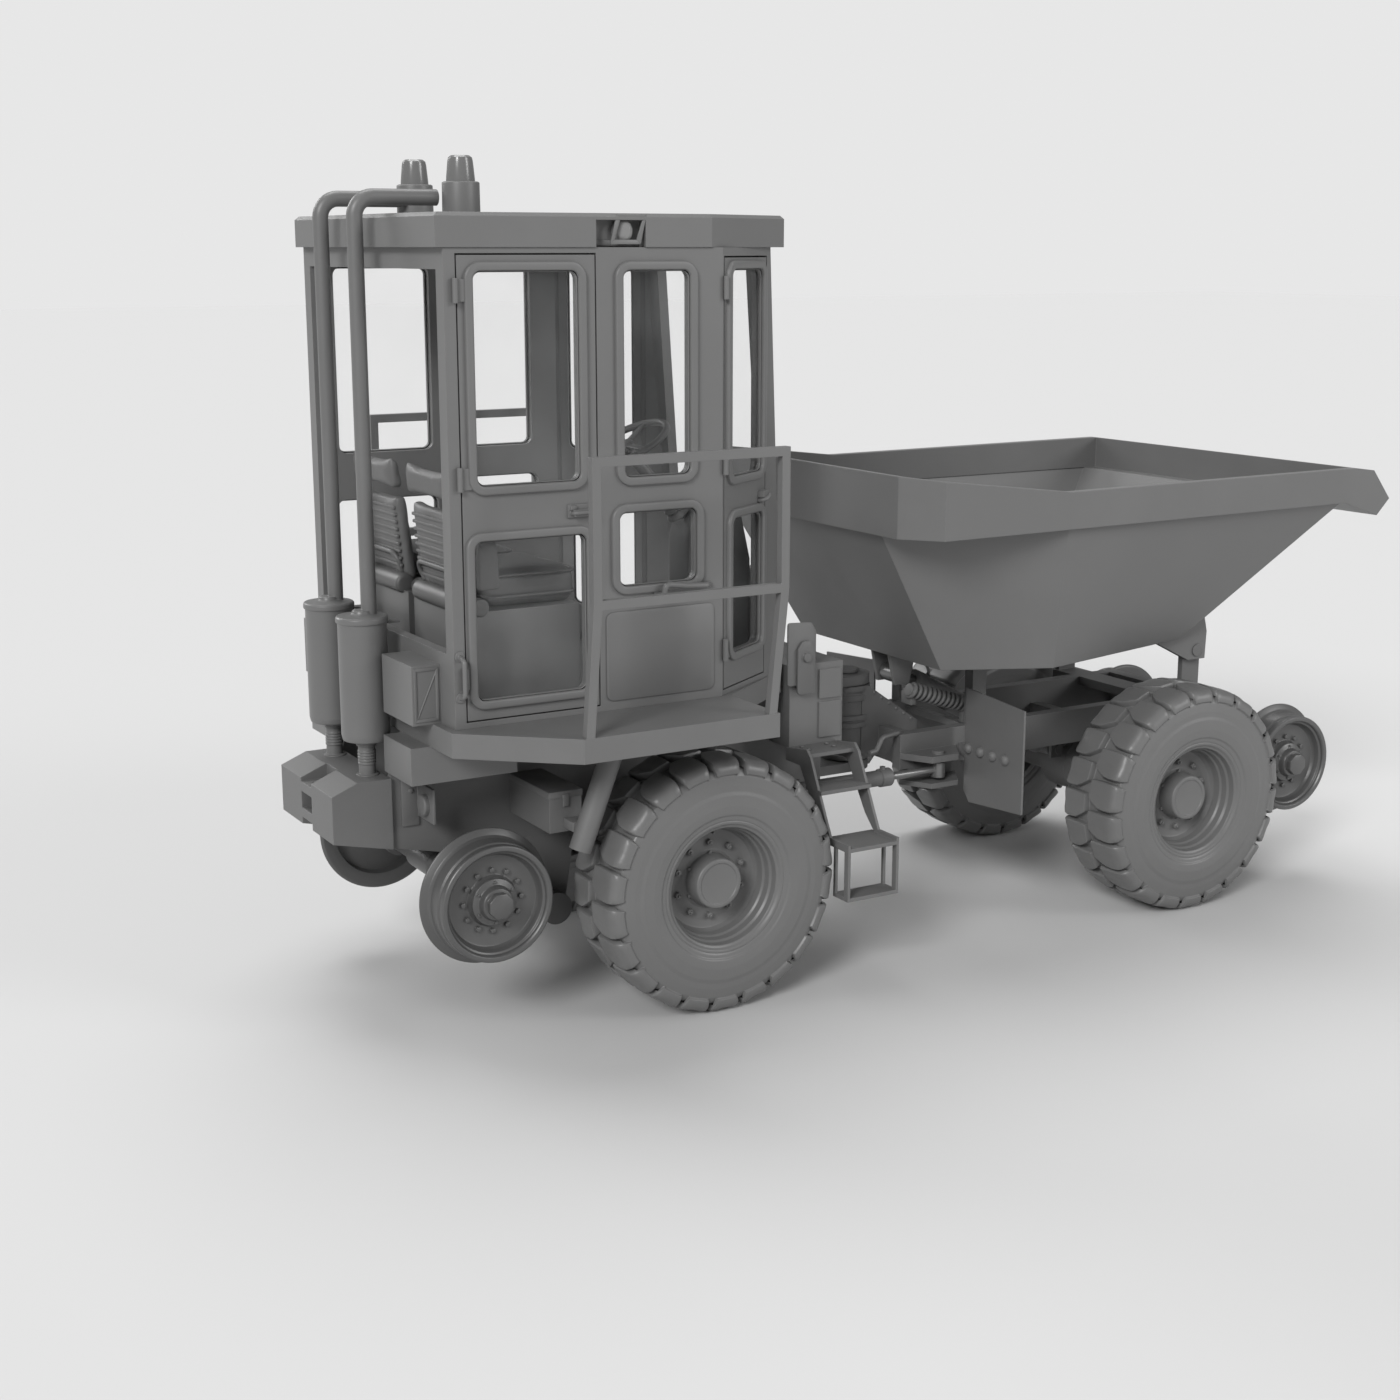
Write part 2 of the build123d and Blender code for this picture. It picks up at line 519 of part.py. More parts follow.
def panes(plane, windows):
    return [plane * block(run, (-CAB_WALL / 2 - GLASS / 2, -CAB_WALL / 2 + GLASS / 2), rise)
            & rounded_hole(plane, run, rise) for run, rise in windows]


side_leaf = door(SIDE, SIDE_DOOR, (-1735, -1650), 2090)
quarter_leaf = door(QUARTER, QUARTER_DOOR, (330, 390), 2085)
for name, side in SIDES.items():
    for label, leaf, plane, panel in (("side_door", side_leaf, SIDE, SIDE_DOOR),
                                      ("quarter_door", quarter_leaf, QUARTER, QUARTER_DOOR)):
        glass = panes(plane, panel["windows"])
        save(f"{label}_{name}", [leaf if side > 0 else mirrored(leaf)])
        save(f"{label}_glass_{name}", glass if side > 0 else [mirrored(g) for g in glass])

mid_glass = panes(SIDE, MID_PANEL["windows"])
fixed_glass = mid_glass + [mirrored(g) for g in mid_glass]
fixed_glass.append(side_plate([(-602, 1740), (-596, 1740), (-682, 3020), (-688, 3020)], (-375, 375)))
save("cab_glass", fixed_glass)


# Roof with a lamp pocket in each side
def roof():
    rear = CAB_REAR_X - ROOF_OVER
    left = [(rear, ROOF_SIDE_HALF), (ROOF_KNEE_X, ROOF_SIDE_HALF), ROOF_FRONT]
    plan = left + [(px, -py) for px, py in reversed(left)]
    slab = flat_plate(plan, (CAB_TOP_Z, CAB_TOP_Z + ROOF_THICK))
    slab = chamfer(slab.faces().sort_by(Axis.Z)[-1].edges(), 14)
    pocket = block(LAMP_X, (ROOF_SIDE_HALF - LAMP_DEPTH, ROOF_SIDE_HALF + 10), (CAB_TOP_Z - 1, CAB_TOP_Z + 100))
    return slab - pair(pocket)


BEACON_X = CAB_REAR_X + 301
BEACON_Y = 230.0
BEACON_Z = (3336.0, 3438.0)
beacon_base = rod((BEACON_X, BEACON_Y, CAB_TOP_Z + ROOF_THICK - 5), (BEACON_X, BEACON_Y, BEACON_Z[0]), 72)
save("cab_roof", [fuse([roof()] + pair(beacon_base))])
lamp_mid = (LAMP_X[0] + LAMP_X[1]) / 2
lamp = block((lamp_mid - 55, lamp_mid + 55), (ROOF_SIDE_HALF - LAMP_DEPTH, ROOF_SIDE_HALF - 12),
             (CAB_TOP_Z + 8, CAB_TOP_Z + 92))
save("roof_lamps", pair(lamp))

# Beacons on the roof
beacon_dome = Pos(BEACON_X, BEACON_Y, (BEACON_Z[0] + BEACON_Z[1]) / 2) * Cone(56, 47, BEACON_Z[1] - BEACON_Z[0])
beacon_dome = chamfer(beacon_dome.edges().sort_by(Axis.Z)[-1], 16)
save("beacon_domes", pair(beacon_dome))

# Exhaust: silencers on the tail block, each with a stack that bends forward over the roof
SILENCER_X = CAB_REAR_X - 151
SILENCER_Y = 186.0
SILENCER_RADIUS = 98.0
SILENCER_Z = (1167.0, 1680.0)
STACK_X = CAB_REAR_X - 120
STACK_RADIUS = 31.0
STACK_Z = 3280.0
STACK_BEND = 60.0
STACK_END_X = CAB_REAR_X + 216
silencer = rod((SILENCER_X, SILENCER_Y, SILENCER_Z[0]), (SILENCER_X, SILENCER_Y, SILENCER_Z[1]), SILENCER_RADIUS)
silencer = fillet(silencer.edges().filter_by(GeomType.CIRCLE), 10)
silencer = silencer + rod((SILENCER_X, SILENCER_Y, TAIL_TOP_Z), (SILENCER_X, SILENCER_Y, SILENCER_Z[0] + 5), 33)
silencer = silencer + block((SILENCER_X, CAB_REAR_X), (SILENCER_Y - 25, SILENCER_Y + 25), (1640, 1650))
path = FilletPolyline((STACK_X, SILENCER_Y, SILENCER_Z[1]), (STACK_X, SILENCER_Y, STACK_Z),
                      (STACK_END_X, SILENCER_Y, STACK_Z), radius=STACK_BEND)
stack = sweep(Plane(origin=(STACK_X, SILENCER_Y, SILENCER_Z[1])) * Circle(STACK_RADIUS), path=path)
save("exhausts", pair(silencer + stack))

# Handrails: one bent frame of square tube on each side of the deck
RAIL_TUBE = 36.0
RAIL_Y = DECK_HALF - RAIL_TUBE / 2
RAIL_TOP_Z = 2332.0
RAIL_MID_Z = 1804.0
RAIL_TOP_X = (-1816.0, -998.0)
RAIL_FOOT_X = (-1853.0, -1049.0)


def handrail():
    parts = []
    band = (RAIL_Y - RAIL_TUBE / 2, RAIL_Y + RAIL_TUBE / 2)
    half = RAIL_TUBE / 2
    for top_x, foot_x in zip(RAIL_TOP_X, RAIL_FOOT_X):
        parts.append(side_plate([(top_x - half, RAIL_TOP_Z + half), (top_x + half, RAIL_TOP_Z + half),
                                 (top_x + half, RAIL_MID_Z), (foot_x + half, DECK_Z), (foot_x - half, DECK_Z),
                                 (top_x - half, RAIL_MID_Z)], band))
    for height in (RAIL_TOP_Z, RAIL_MID_Z):
        parts.append(block((RAIL_TOP_X[0] - 4, RAIL_TOP_X[1] + 4), band, (height - half, height + half)))
    return fuse(parts)


RAIL = handrail()
for name, side in SIDES.items():
    save(f"handrail_{name}", [RAIL if side > 0 else mirrored(RAIL)])

# Boxes on the rear wall and under the deck, and the slanted props below the deck's corners
deck_low = DECK_Z - DECK_THICK
wall_box = block((CAB_REAR_X - 117, CAB_REAR_X), (300, 600), (DECK_Z, 1540))
skirt_box = block((TAIL_X - 20, -1900), (CHASSIS_HALF, 560), (1060, deck_low))
save("rear_boxes", pair(wall_box) + pair(skirt_box))
TOOL_BOX_X = (TYRE_BACK_X - 141, TYRE_BACK_X + 2)
TOOL_BOX_OUT = 650.0
tool_box = block(TOOL_BOX_X, (CHASSIS_HALF, TOOL_BOX_OUT), (812, 977))
save("tool_boxes", pair(tool_box))
PROP_Y = 770.0
PROP_RADIUS = 45.0
PROP_X = (TYRE_BACK_X + 105, TYRE_BACK_X - 70)
prop = rod((PROP_X[0], PROP_Y, deck_low), (PROP_X[1], PROP_Y, 762), PROP_RADIUS)
prop = prop & block((PROP_X[1] - 200, PROP_X[0] + 200), (PROP_Y - 100, PROP_Y + 100), (700, deck_low))
stay = block((TOOL_BOX_X[0] + 61, TOOL_BOX_X[1] - 17), (TOOL_BOX_OUT, PROP_Y - 35), (830, 870))
save("deck_props", pair(prop + stay))


# Steps: two side plates joined by treads, hung on the side of the tank
STEP_TYRE_GAP = 25.0
STEP_WIDTH = 260.0
STEP_X = (TYRE_FRONT_X + STEP_TYRE_GAP, TYRE_FRONT_X + STEP_TYRE_GAP + STEP_WIDTH)
STEP_PLATE = 12.0
# (inner |Y|, outer |Y|, top Z) of each tread
TREADS = [(TANK_HALF, 610.0, 966.0), (610.0, 730.0, 830.0), (740.0, 940.0, 629.0), (830.0, 940.0, 412.0)]


def cross_plate(points, x):
    """Plate from an outline in Y and Z, between two X values."""
    face = make_face(Polyline([(0, py, pz) for py, pz in points], close=True))
    return Pos(x[0], 0, 0) * extrude(face, amount=x[1] - x[0], dir=(1, 0, 0))


def steps():
    outline = [(TANK_HALF, 966), (610, 990), (640, 960), (760, 720), (800, 645), (940, 645), (940, 396),
               (910, 396), (910, 612), (790, 612), (700, 700), (560, 910), (TANK_HALF, 910)]
    loop = [(830, 396), (940, 396), (940, 412), (846, 412), (846, 629), (830, 629)]
    parts = []
    for low in (STEP_X[0], STEP_X[1] - STEP_PLATE):
        parts.append(cross_plate(outline, (low, low + STEP_PLATE)))
        parts.append(cross_plate(loop, (low, low + STEP_PLATE)))
    for inner, outer, top in TREADS:
        parts.append(block(STEP_X, (inner, outer), (top - 16, top)))
    return fuse(parts)


save("steps", pair(steps()))

# Seats: plinth, cushion and slatted back, two side by side, facing forward
SEAT_Y = 290.0
SEAT_HALF = 245.0
SEAT_BASE_X = (CAB_REAR_X + 136, CAB_REAR_X + 626)
SEAT_CUSHION_X = (CAB_REAR_X + 226, CAB_REAR_X + 646)
SEAT_CUSHION_Z = (1720.0, 1866.0)
SEAT_GAP = 5.0
SLAT_COUNT = 9
SLAT_PITCH = 30.0
SLAT_LOW_Z = 1935.0
# side view of the back: (X from the cab's rear wall, Z)
SEAT_BACK = [(206, 1740), (152, 2120), (128, 2262), (84, 2270), (92, 2130), (112, 2110), (150, 1740)]


def seat_back():
    """Pad with a thicker head piece, and a row of slats across its rear."""
    pad = side_plate([(CAB_REAR_X + x, z) for x, z in SEAT_BACK], (SEAT_Y - 235, SEAT_Y + 235))
    pad = fillet(pad.edges().filter_by(Axis.Y), 8)
    lean = (SEAT_BACK[5][0] - SEAT_BACK[6][0]) / (SEAT_BACK[5][1] - SEAT_BACK[6][1])
    slats = []
    for i in range(SLAT_COUNT):
        z = SLAT_LOW_Z - SLAT_PITCH * 4 + SLAT_PITCH * i
        x = CAB_REAR_X + SEAT_BACK[6][0] + (z - SEAT_BACK[6][1]) * lean
        slats.append(block((x - 8, x + 12), (SEAT_Y - 200, SEAT_Y + 200), (z - 8, z + 8)))
    return pad + slats


save("seat_bases", pair(block(SEAT_BASE_X, (SEAT_Y - 260, SEAT_Y + 260), (DECK_Z, SEAT_CUSHION_Z[0] - SEAT_GAP))))
cushion = block(SEAT_CUSHION_X, (SEAT_Y - SEAT_HALF, SEAT_Y + SEAT_HALF), SEAT_CUSHION_Z)
cushion = fillet(cushion.edges(), 30)
save("seat_cushions", pair(cushion))
save("seat_backs", pair(seat_back()))

# Dash, steering column and wheel, in front of the right-hand seat
DASH = [(-1010, DECK_Z), (-1010, 1900), (-960, 2060), (-760, 2060), (-700, 1800), (-700, DECK_Z)]
dash = side_plate(DASH, (-380, 380))
column = rod((-990, -SEAT_Y, 1990), (-1250, -SEAT_Y, 2280), 26)
save("dash", [dash + column])
wheel_plane = Plane(origin=(-1262, -SEAT_Y, 2300), z_dir=(-0.45, 0, 0.89))
hoop = wheel_plane * Torus(190, 15)
spokes = [wheel_plane * Rot(0, 0, turn) * block((0, 190), (-14, 14), (-6, 6)) for turn in (90, 210, 330)]
boss = wheel_plane * Cylinder(34, 30)
save("steering_wheel", [fuse([hoop, boss] + spokes)])


# Front frame: side beams, cross members, pivot post, gussets, steering lugs and skip hinge posts
HINGE_POST_Y = (440.0, 470.0)
SKIP_LUG_Y = (476.0, 506.0)
TIP_CHEEK_Y = (57.0, 77.0)
SKIP_RUNNER_Y = (165.0, 205.0)
TIP_EYE_HALF = 50.0
CLEVIS_Y = (65.0, 85.0)
# side view of the clevis under the tipping cylinder: (X from the front axle, Z)
CLEVIS = [(-220, 600), (-220, 680), (-75, 800), (-15, 800), (-15, 740), (-75, 695), (-145, 645), (-155, 600)]
REST_X = (FRONT_AXLE_X - 915.0, FRONT_AXLE_X - 835.0)
MUD_PLATE_X = (REST_X[0] - 75, REST_X[0] - 65)
TIP_BASE_PIN = 25.0


def front_chassis():
    post_z = (PIVOT_LOW_Z + PIVOT_LUG_THICK + PIVOT_GAP, PIVOT_TOP_Z - PIVOT_GAP)
    pin_z = (PIVOT_LOW_Z - 20, PIVOT_TOP_Z + PIVOT_LUG_THICK + PIVOT_GAP)
    middle = [
        rod((PIVOT_X, 0, post_z[0]), (PIVOT_X, 0, post_z[1]), 100),
        rod((PIVOT_X, 0, pin_z[0]), (PIVOT_X, 0, pin_z[1] + 1), PIVOT_PIN_RADIUS - RUNNING_FIT),
        rod((PIVOT_X, 0, pin_z[1]), (PIVOT_X, 0, pin_z[1] + 16), 58),
        block((PIVOT_X, 190), (-90, 90), (post_z[0] + 6, 905)),
        block((180, 230), (-BEAM_Y[1], BEAM_Y[1]), (BEAM_Z[0] + 10, BEAM_Z[1])),
        block((FRONT_AXLE_X - 75, FRONT_AXLE_X - 15), (-BEAM_Y[0], BEAM_Y[0]), (740, 800)),
        block((REST_X[1] - 40, REST_X[1]), (-BEAM_Y[0], BEAM_Y[0]), (850, 880)),
        block((BEAM_X[1] - 70, BEAM_X[1]), (-BEAM_Y[0], BEAM_Y[0]), BEAM_Z),
        block((TIP_X - 70, TIP_X + 70), (-HINGE_POST_Y[1], HINGE_POST_Y[1]), (860, BEAM_Z[1])),
        rod((TIP_BASE_X, -CLEVIS_Y[1] - 8, TIP_BASE_Z), (TIP_BASE_X, CLEVIS_Y[1] + 8, TIP_BASE_Z), TIP_BASE_PIN),
    ]
    left = [
        block(BEAM_X, BEAM_Y, BEAM_Z),
        side_plate([(80, 760), (80, 1100), (120, 1100), (400, 905), (400, 760)], (88, 106)),
        block((TIP_X - 55, TIP_X + 55), HINGE_POST_Y, (BEAM_Z[1] - 5, TIP_Z)),
        rod((TIP_X, HINGE_POST_Y[0], TIP_Z), (TIP_X, HINGE_POST_Y[1], TIP_Z), 55),
        rod((TIP_X, HINGE_POST_Y[0], TIP_Z), (TIP_X, SKIP_LUG_Y[1] + 6, TIP_Z), TIP_PIN_RADIUS - RUNNING_FIT),
        side_plate([(FRONT_AXLE_X + x, z) for x, z in CLEVIS], CLEVIS_Y),
        block(REST_X, BEAM_Y, (BEAM_Z[1], SKIP_LOW_Z - 1)),
        flat_plate([(150, 318), (230, 460), (380, 460), (470, 318)], (790, 820)),
        flat_plate([(150, 318), (230, 460), (380, 460), (470, 318)], (670, 694)),
        block((200, 450), (300, BEAM_Y[1]), (670, BEAM_Z[0])),
        rod((STEER_EYE_X, STEER_EYE_Y, 820), (STEER_EYE_X, STEER_EYE_Y, 834), 30),
        rod((STEER_EYE_X, STEER_EYE_Y, 656), (STEER_EYE_X, STEER_EYE_Y, 670), 30),
        block((MUD_PLATE_X[1], REST_X[0]), (BEAM_Y[1], 700), (770, 830)),
    ]
    return fuse(middle + [s for part in left for s in pair(part)])


save("front_chassis", [front_chassis()])

mud_plate = cross_plate([(368, 610), (410, 561), (790, 590), (790, 1070), (368, 1101)], MUD_PLATE_X)
save("mud_plates", pair(mud_plate))

# Coiled hose guard beside the tipping cylinder: rings on a core between two brackets
COIL_START = Vector(300, -175, 1075)
COIL_END = Vector(636, -175, 965)
COIL_TURNS = 12
coil_way = COIL_END - COIL_START
coil = [rod(COIL_START, COIL_END, 26)]
for turn in range(COIL_TURNS):
    a = COIL_START + coil_way * ((turn + 0.5) / COIL_TURNS - 0.018)
    b = COIL_START + coil_way * ((turn + 0.5) / COIL_TURNS + 0.018)
    coil.append(rod(a, b, 38))
coil.append(block((606, 634), (-185, -165), (880, 975)))
coil.append(block((305, 335), (-185, -106), (1000, 1070)))
save("hose_guard", [fuse(coil)])


# Cylinders: a barrel with its rod inside; each rod's eye sits in its cheeks without a pin
def cylinder(start, end, eye_axis, barrel_r, rod_r, barrel, rod_from, pin_r, eye_half, eye_r):
    a, b = Vector(*start), Vector(*end)
    way = (b - a).normalized()
    side = Vector(*eye_axis)

    def at(distance):
        return a + way * distance

    def eye(centre):
        return rod(centre - side * eye_half, centre + side * eye_half, eye_r)

    shell = rod(at(barrel[0]), at(barrel[1]), barrel_r) + rod(at(barrel[1] - 60), at(barrel[1]), barrel_r + 6)
    shell = shell + rod(at(0), at(barrel[0] + 5), barrel_r * 0.6) + eye(a)
    shell = shell - rod(at(barrel[0] + 25), at(barrel[1] + 1), rod_r + RUNNING_FIT)
    shell = shell - rod(a - side * (eye_half + 1), a + side * (eye_half + 1),
                        pin_r + RUNNING_FIT)
    ram = rod(at(rod_from), at((b - a).length), rod_r) + eye(b)
    return shell, ram


for name, side in SIDES.items():
    barrel_solid, rod_solid = cylinder(
        (STEER_ANCHOR_X, side * STEER_ANCHOR_Y, STEER_EYE_Z), (STEER_EYE_X, side * STEER_EYE_Y, STEER_EYE_Z),
        (0, 0, 1), STEER_BARREL_RADIUS, STEER_ROD_RADIUS, (40, STEER_BARREL_LENGTH), 290, STEER_PIN_RADIUS,
        STEER_EYE_HALF, 34)
    save(f"steer_barrel_{name}", [barrel_solid])
    save(f"steer_rod_{name}", [rod_solid])

tip_barrel, tip_rod = cylinder(
    (TIP_BASE_X, 0, TIP_BASE_Z), (TIP_EYE_X, 0, TIP_EYE_Z), (0, 1, 0), TIP_BARREL_RADIUS, TIP_ROD_RADIUS,
    (TIP_BARREL_START, TIP_BARREL_END), 105, TIP_BASE_PIN, TIP_EYE_HALF, 42)
save("tip_barrel", [tip_barrel])
save("tip_rod", [tip_rod])

# Skip: lofted body below a folded rim, with a lip across the front
BODY_TOP_Z = 1908.0
# (X from the front axle, half width) of the body's outline at the floor and under the rim, rear to front
BODY_LOW = [(-1282.0, 551.0), (-818.0, 767.0), (165.0, 540.0)]
BODY_TOP = [(-1682.0, 626.0), (-883.0, 915.0), (791.0, 915.0)]
RIM_PLAN = [(-1704.0, 780.0), (-1575.0, RIM_HALF), (1093.0, RIM_HALF)]
# side view of the rim: (X from the front axle, Z)
RIM_SIDE = [(-1704, 1895), (-1704, 2160), (-894, 2062), (856, 2070), (975, 2054), (1093, 1913), (1014, 1836),
            (791, 1908)]
WELL_FRONT = 901.0


def ring_plan(rows, inset, z):
    """Closed outline from half of it, drawn in by an inset."""
    rear, knee, front = rows
    half = [(rear[0] + inset, rear[1] - inset * 0.5), (knee[0] + inset * 0.2, knee[1] - inset),
            (front[0] - inset, front[1] - inset)]
    points = half + [(px, -py) for px, py in reversed(half)]
    return make_face(Polyline([(px, py, z) for px, py in points], close=True))


def skip():
    outer = loft([ring_plan(BODY_LOW, 0, SKIP_LOW_Z), ring_plan(BODY_TOP, 0, BODY_TOP_Z)], ruled=True)
    inner = loft([ring_plan(BODY_LOW, SKIP_WALL, SKIP_LOW_Z + SKIP_WALL),
                  ring_plan(BODY_TOP, SKIP_WALL, BODY_TOP_Z + 1)], ruled=True)
    plan = extrude(ring_plan(RIM_PLAN, 0, 1800), amount=400)
    well = extrude(ring_plan([RIM_PLAN[0], RIM_PLAN[1], (WELL_FRONT, RIM_HALF)], RIM_FOLD, 1800), amount=400)
    profile = side_plate(RIM_SIDE, (-RIM_HALF, RIM_HALF))
    rim = (plan & profile) - (well & block((-2000, 1000), (-1000, 1000), (RIM_SIDE[0][1] + SKIP_WALL, 2300)))
    lugs = []
    for side in (1, -1):
        lugs.append(side_plate([(5, SKIP_LOW_Z + 5), (260, 1125), (370, 1125), (375, 1260), (335, 1415)],
                               span(side, SKIP_LUG_Y)))
        lugs.append(side_plate([(-1225, SKIP_LOW_Z + 5), (-1065, SKIP_LOW_Z + 5), (-1103, 1078), (-1187, 1078)],
                               span(side, TIP_CHEEK_Y)))
        lugs.append(block((-1055, 125), span(side, SKIP_RUNNER_Y), (SKIP_LOW_Z - 60, SKIP_LOW_Z + 5)))
    shell = Pos(FRONT_AXLE_X, 0, 0) * (fuse([outer, rim] + lugs) - inner)
    bores = rod((TIP_X, -600, TIP_Z), (TIP_X, 600, TIP_Z), TIP_PIN_RADIUS)
    return shell - bores


save("skip", [skip()])
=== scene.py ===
# %% [markdown]
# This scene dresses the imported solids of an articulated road-rail dump truck in one coat of satin grey, the way
# a machine looks in primer before its colours go on. The solids already have the right size and place, so the
# scene gives round things smooth round meshes, adds what is too small for the solids, and gives each surface
# its finish. Loading the frame first means that every later piece can read its place from it.

# %% Load the frame
import json
import math

import bmesh
import bpy
from mathutils import Matrix, Vector


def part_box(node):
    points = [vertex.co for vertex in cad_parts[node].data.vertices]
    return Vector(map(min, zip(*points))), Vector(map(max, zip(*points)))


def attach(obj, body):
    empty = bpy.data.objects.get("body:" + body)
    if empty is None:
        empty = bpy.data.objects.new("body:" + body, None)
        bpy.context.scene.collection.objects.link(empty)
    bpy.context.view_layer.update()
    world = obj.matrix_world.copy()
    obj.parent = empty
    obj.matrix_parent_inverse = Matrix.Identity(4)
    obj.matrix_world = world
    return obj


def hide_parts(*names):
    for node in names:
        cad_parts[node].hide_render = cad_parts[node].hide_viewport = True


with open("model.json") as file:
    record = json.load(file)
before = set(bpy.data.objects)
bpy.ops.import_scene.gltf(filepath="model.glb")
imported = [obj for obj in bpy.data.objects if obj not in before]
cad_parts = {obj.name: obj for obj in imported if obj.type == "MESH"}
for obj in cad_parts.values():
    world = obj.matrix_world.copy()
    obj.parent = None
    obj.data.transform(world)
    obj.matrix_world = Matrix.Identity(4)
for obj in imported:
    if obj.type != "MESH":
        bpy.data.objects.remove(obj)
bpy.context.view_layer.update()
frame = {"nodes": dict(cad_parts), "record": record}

SCENE = bpy.context.scene

# %% [markdown]
# The camera comes from the photograph. Straight edges of the cab and the ellipses of the tyres fix its place and
# its lens. The floor is pale and plain, and four suns with wide, soft discs light the machine from the camera's
# left, from the right, from above and from behind. The world is pale to the camera alone, so the floor runs into
# the backdrop and the paint keeps its tone.

# %% Camera
CAMERA_PLACE = (-5.1545, -7.5477, 3.0932)
CAMERA_TILT = 77.222
CAMERA_HEADING = -30.371
LENS_MM = 51.34


def aim_camera():
    data = bpy.data.cameras.new("camera")
    data.lens = LENS_MM
    data.sensor_width = 36
    camera = bpy.data.objects.new("camera", data)
    camera.location = CAMERA_PLACE
    camera.rotation_euler = (math.radians(CAMERA_TILT), 0, math.radians(CAMERA_HEADING))
    SCENE.collection.objects.link(camera)
    SCENE.camera = camera


aim_camera()
print("camera at", CAMERA_PLACE, "with a lens of", LENS_MM, "mm")

# %% Lamps, world and floor
FLOOR_SIZE = 200
FLOOR_DROP = 0.0005
FLOOR_COLOUR = (0.575, 0.575, 0.575, 1)
WORLD_COLOUR = (0.8, 0.8, 0.8, 1)
WORLD_STRENGTH = 0.42
LAMP_TARGET = Vector((0, 0, 1.2))
# where the light comes from, strength, how wide the lamp looks in degrees
LAMPS = [((-8, -6, 7), 2.1, 20), ((7, -8, 5), 0.8, 20), ((1, 3, 9), 1.7, 40), ((-3, 8, 5), 0.9, 26)]


def lamp(number, place, strength, width):
    data = bpy.data.lights.new(f"lamp_{number}", "SUN")
    data.energy = strength
    data.angle = math.radians(width)
    light = bpy.data.objects.new(f"lamp_{number}", data)
    light.location = place
    light.rotation_euler = (LAMP_TARGET - Vector(place)).to_track_quat("-Z", "Y").to_euler()
    SCENE.collection.objects.link(light)


def light_world():
    world = bpy.data.worlds.new("studio")
    world.use_nodes = True
    nodes, links = world.node_tree.nodes, world.node_tree.links
    nodes["Background"].inputs["Color"].default_value = WORLD_COLOUR
    nodes["Background"].inputs["Strength"].default_value = WORLD_STRENGTH
    backdrop = nodes.new("ShaderNodeBackground")
    backdrop.inputs["Color"].default_value = WORLD_COLOUR
    seen = nodes.new("ShaderNodeLightPath")
    swap = nodes.new("ShaderNodeMixShader")
    links.new(seen.outputs["Is Camera Ray"], swap.inputs[0])
    links.new(nodes["Background"].outputs[0], swap.inputs[1])
    links.new(backdrop.outputs[0], swap.inputs[2])
    links.new(swap.outputs[0], nodes["World Output"].inputs["Surface"])
    SCENE.world = world


def lay_floor():
    mesh = bpy.data.meshes.new("floor")
    half = FLOOR_SIZE / 2
    corners = [(-half, -half, 0), (half, -half, 0), (half, half, 0), (-half, half, 0)]
    mesh.from_pydata(corners, [], [(0, 1, 2, 3)])
    paint = bpy.data.materials.new("floor")
    paint.use_nodes = True
    shader = paint.node_tree.nodes["Principled BSDF"]
    shader.inputs["Base Color"].default_value = FLOOR_COLOUR
    shader.inputs["Roughness"].default_value = 0.9
    shader.inputs["Specular IOR Level"].default_value = 0
    mesh.materials.append(paint)
    floor = bpy.data.objects.new("floor", mesh)
    floor.location.z = -FLOOR_DROP
    SCENE.collection.objects.link(floor)


for number, (place, strength, width) in enumerate(LAMPS):
    lamp(number, place, strength, width)
light_world()
lay_floor()
SCENE.view_settings.view_transform = "Standard"
print(len(LAMPS), "lamps over a floor", FLOOR_SIZE, "m wide")

# %% [markdown]
# Finishes share two effects. The first rounds every hard edge a little in the shading and adds a fine
# grain, as sprayed paint and moulded rubber have. It also gives a mask of the edges. The second mottles a colour
# with dust and lightens it in speckles along that mask, as edge wear and as a painted highlight on every edge.
# Each is a node group, so one change reaches every finish, and each finish sets its own values.

# %% Shader groups
BEVEL_SAMPLES = 4
GRAIN_DETAIL = 3
# cosine between the rounded and the flat normal where an edge starts, and where it is full
EDGE_START, EDGE_FULL = 0.995, 0.85
PATCH_DETAIL, PATCH_ROUGHNESS = 6, 0.62
# noise level where dust starts, and where it is full
DUST_START, DUST_FULL = 0.42, 0.72
DUST_ROUGHENS = 0.22
# size of the speckles in which edges are lightened, as wear and as a painted highlight
EDGE_SPECKLE_SCALE = 38


def shader_group(name, inputs, outputs):
    group = bpy.data.node_groups.new(name, "ShaderNodeTree")
    for label, kind, value in inputs:
        socket = group.interface.new_socket(label, in_out="INPUT", socket_type=kind)
        socket.default_value = value
    for label, kind in outputs:
        group.interface.new_socket(label, in_out="OUTPUT", socket_type=kind)
    start = group.nodes.new("NodeGroupInput")
    end = group.nodes.new("NodeGroupOutput")
    return group, group.nodes, group.links, start.outputs, end.inputs


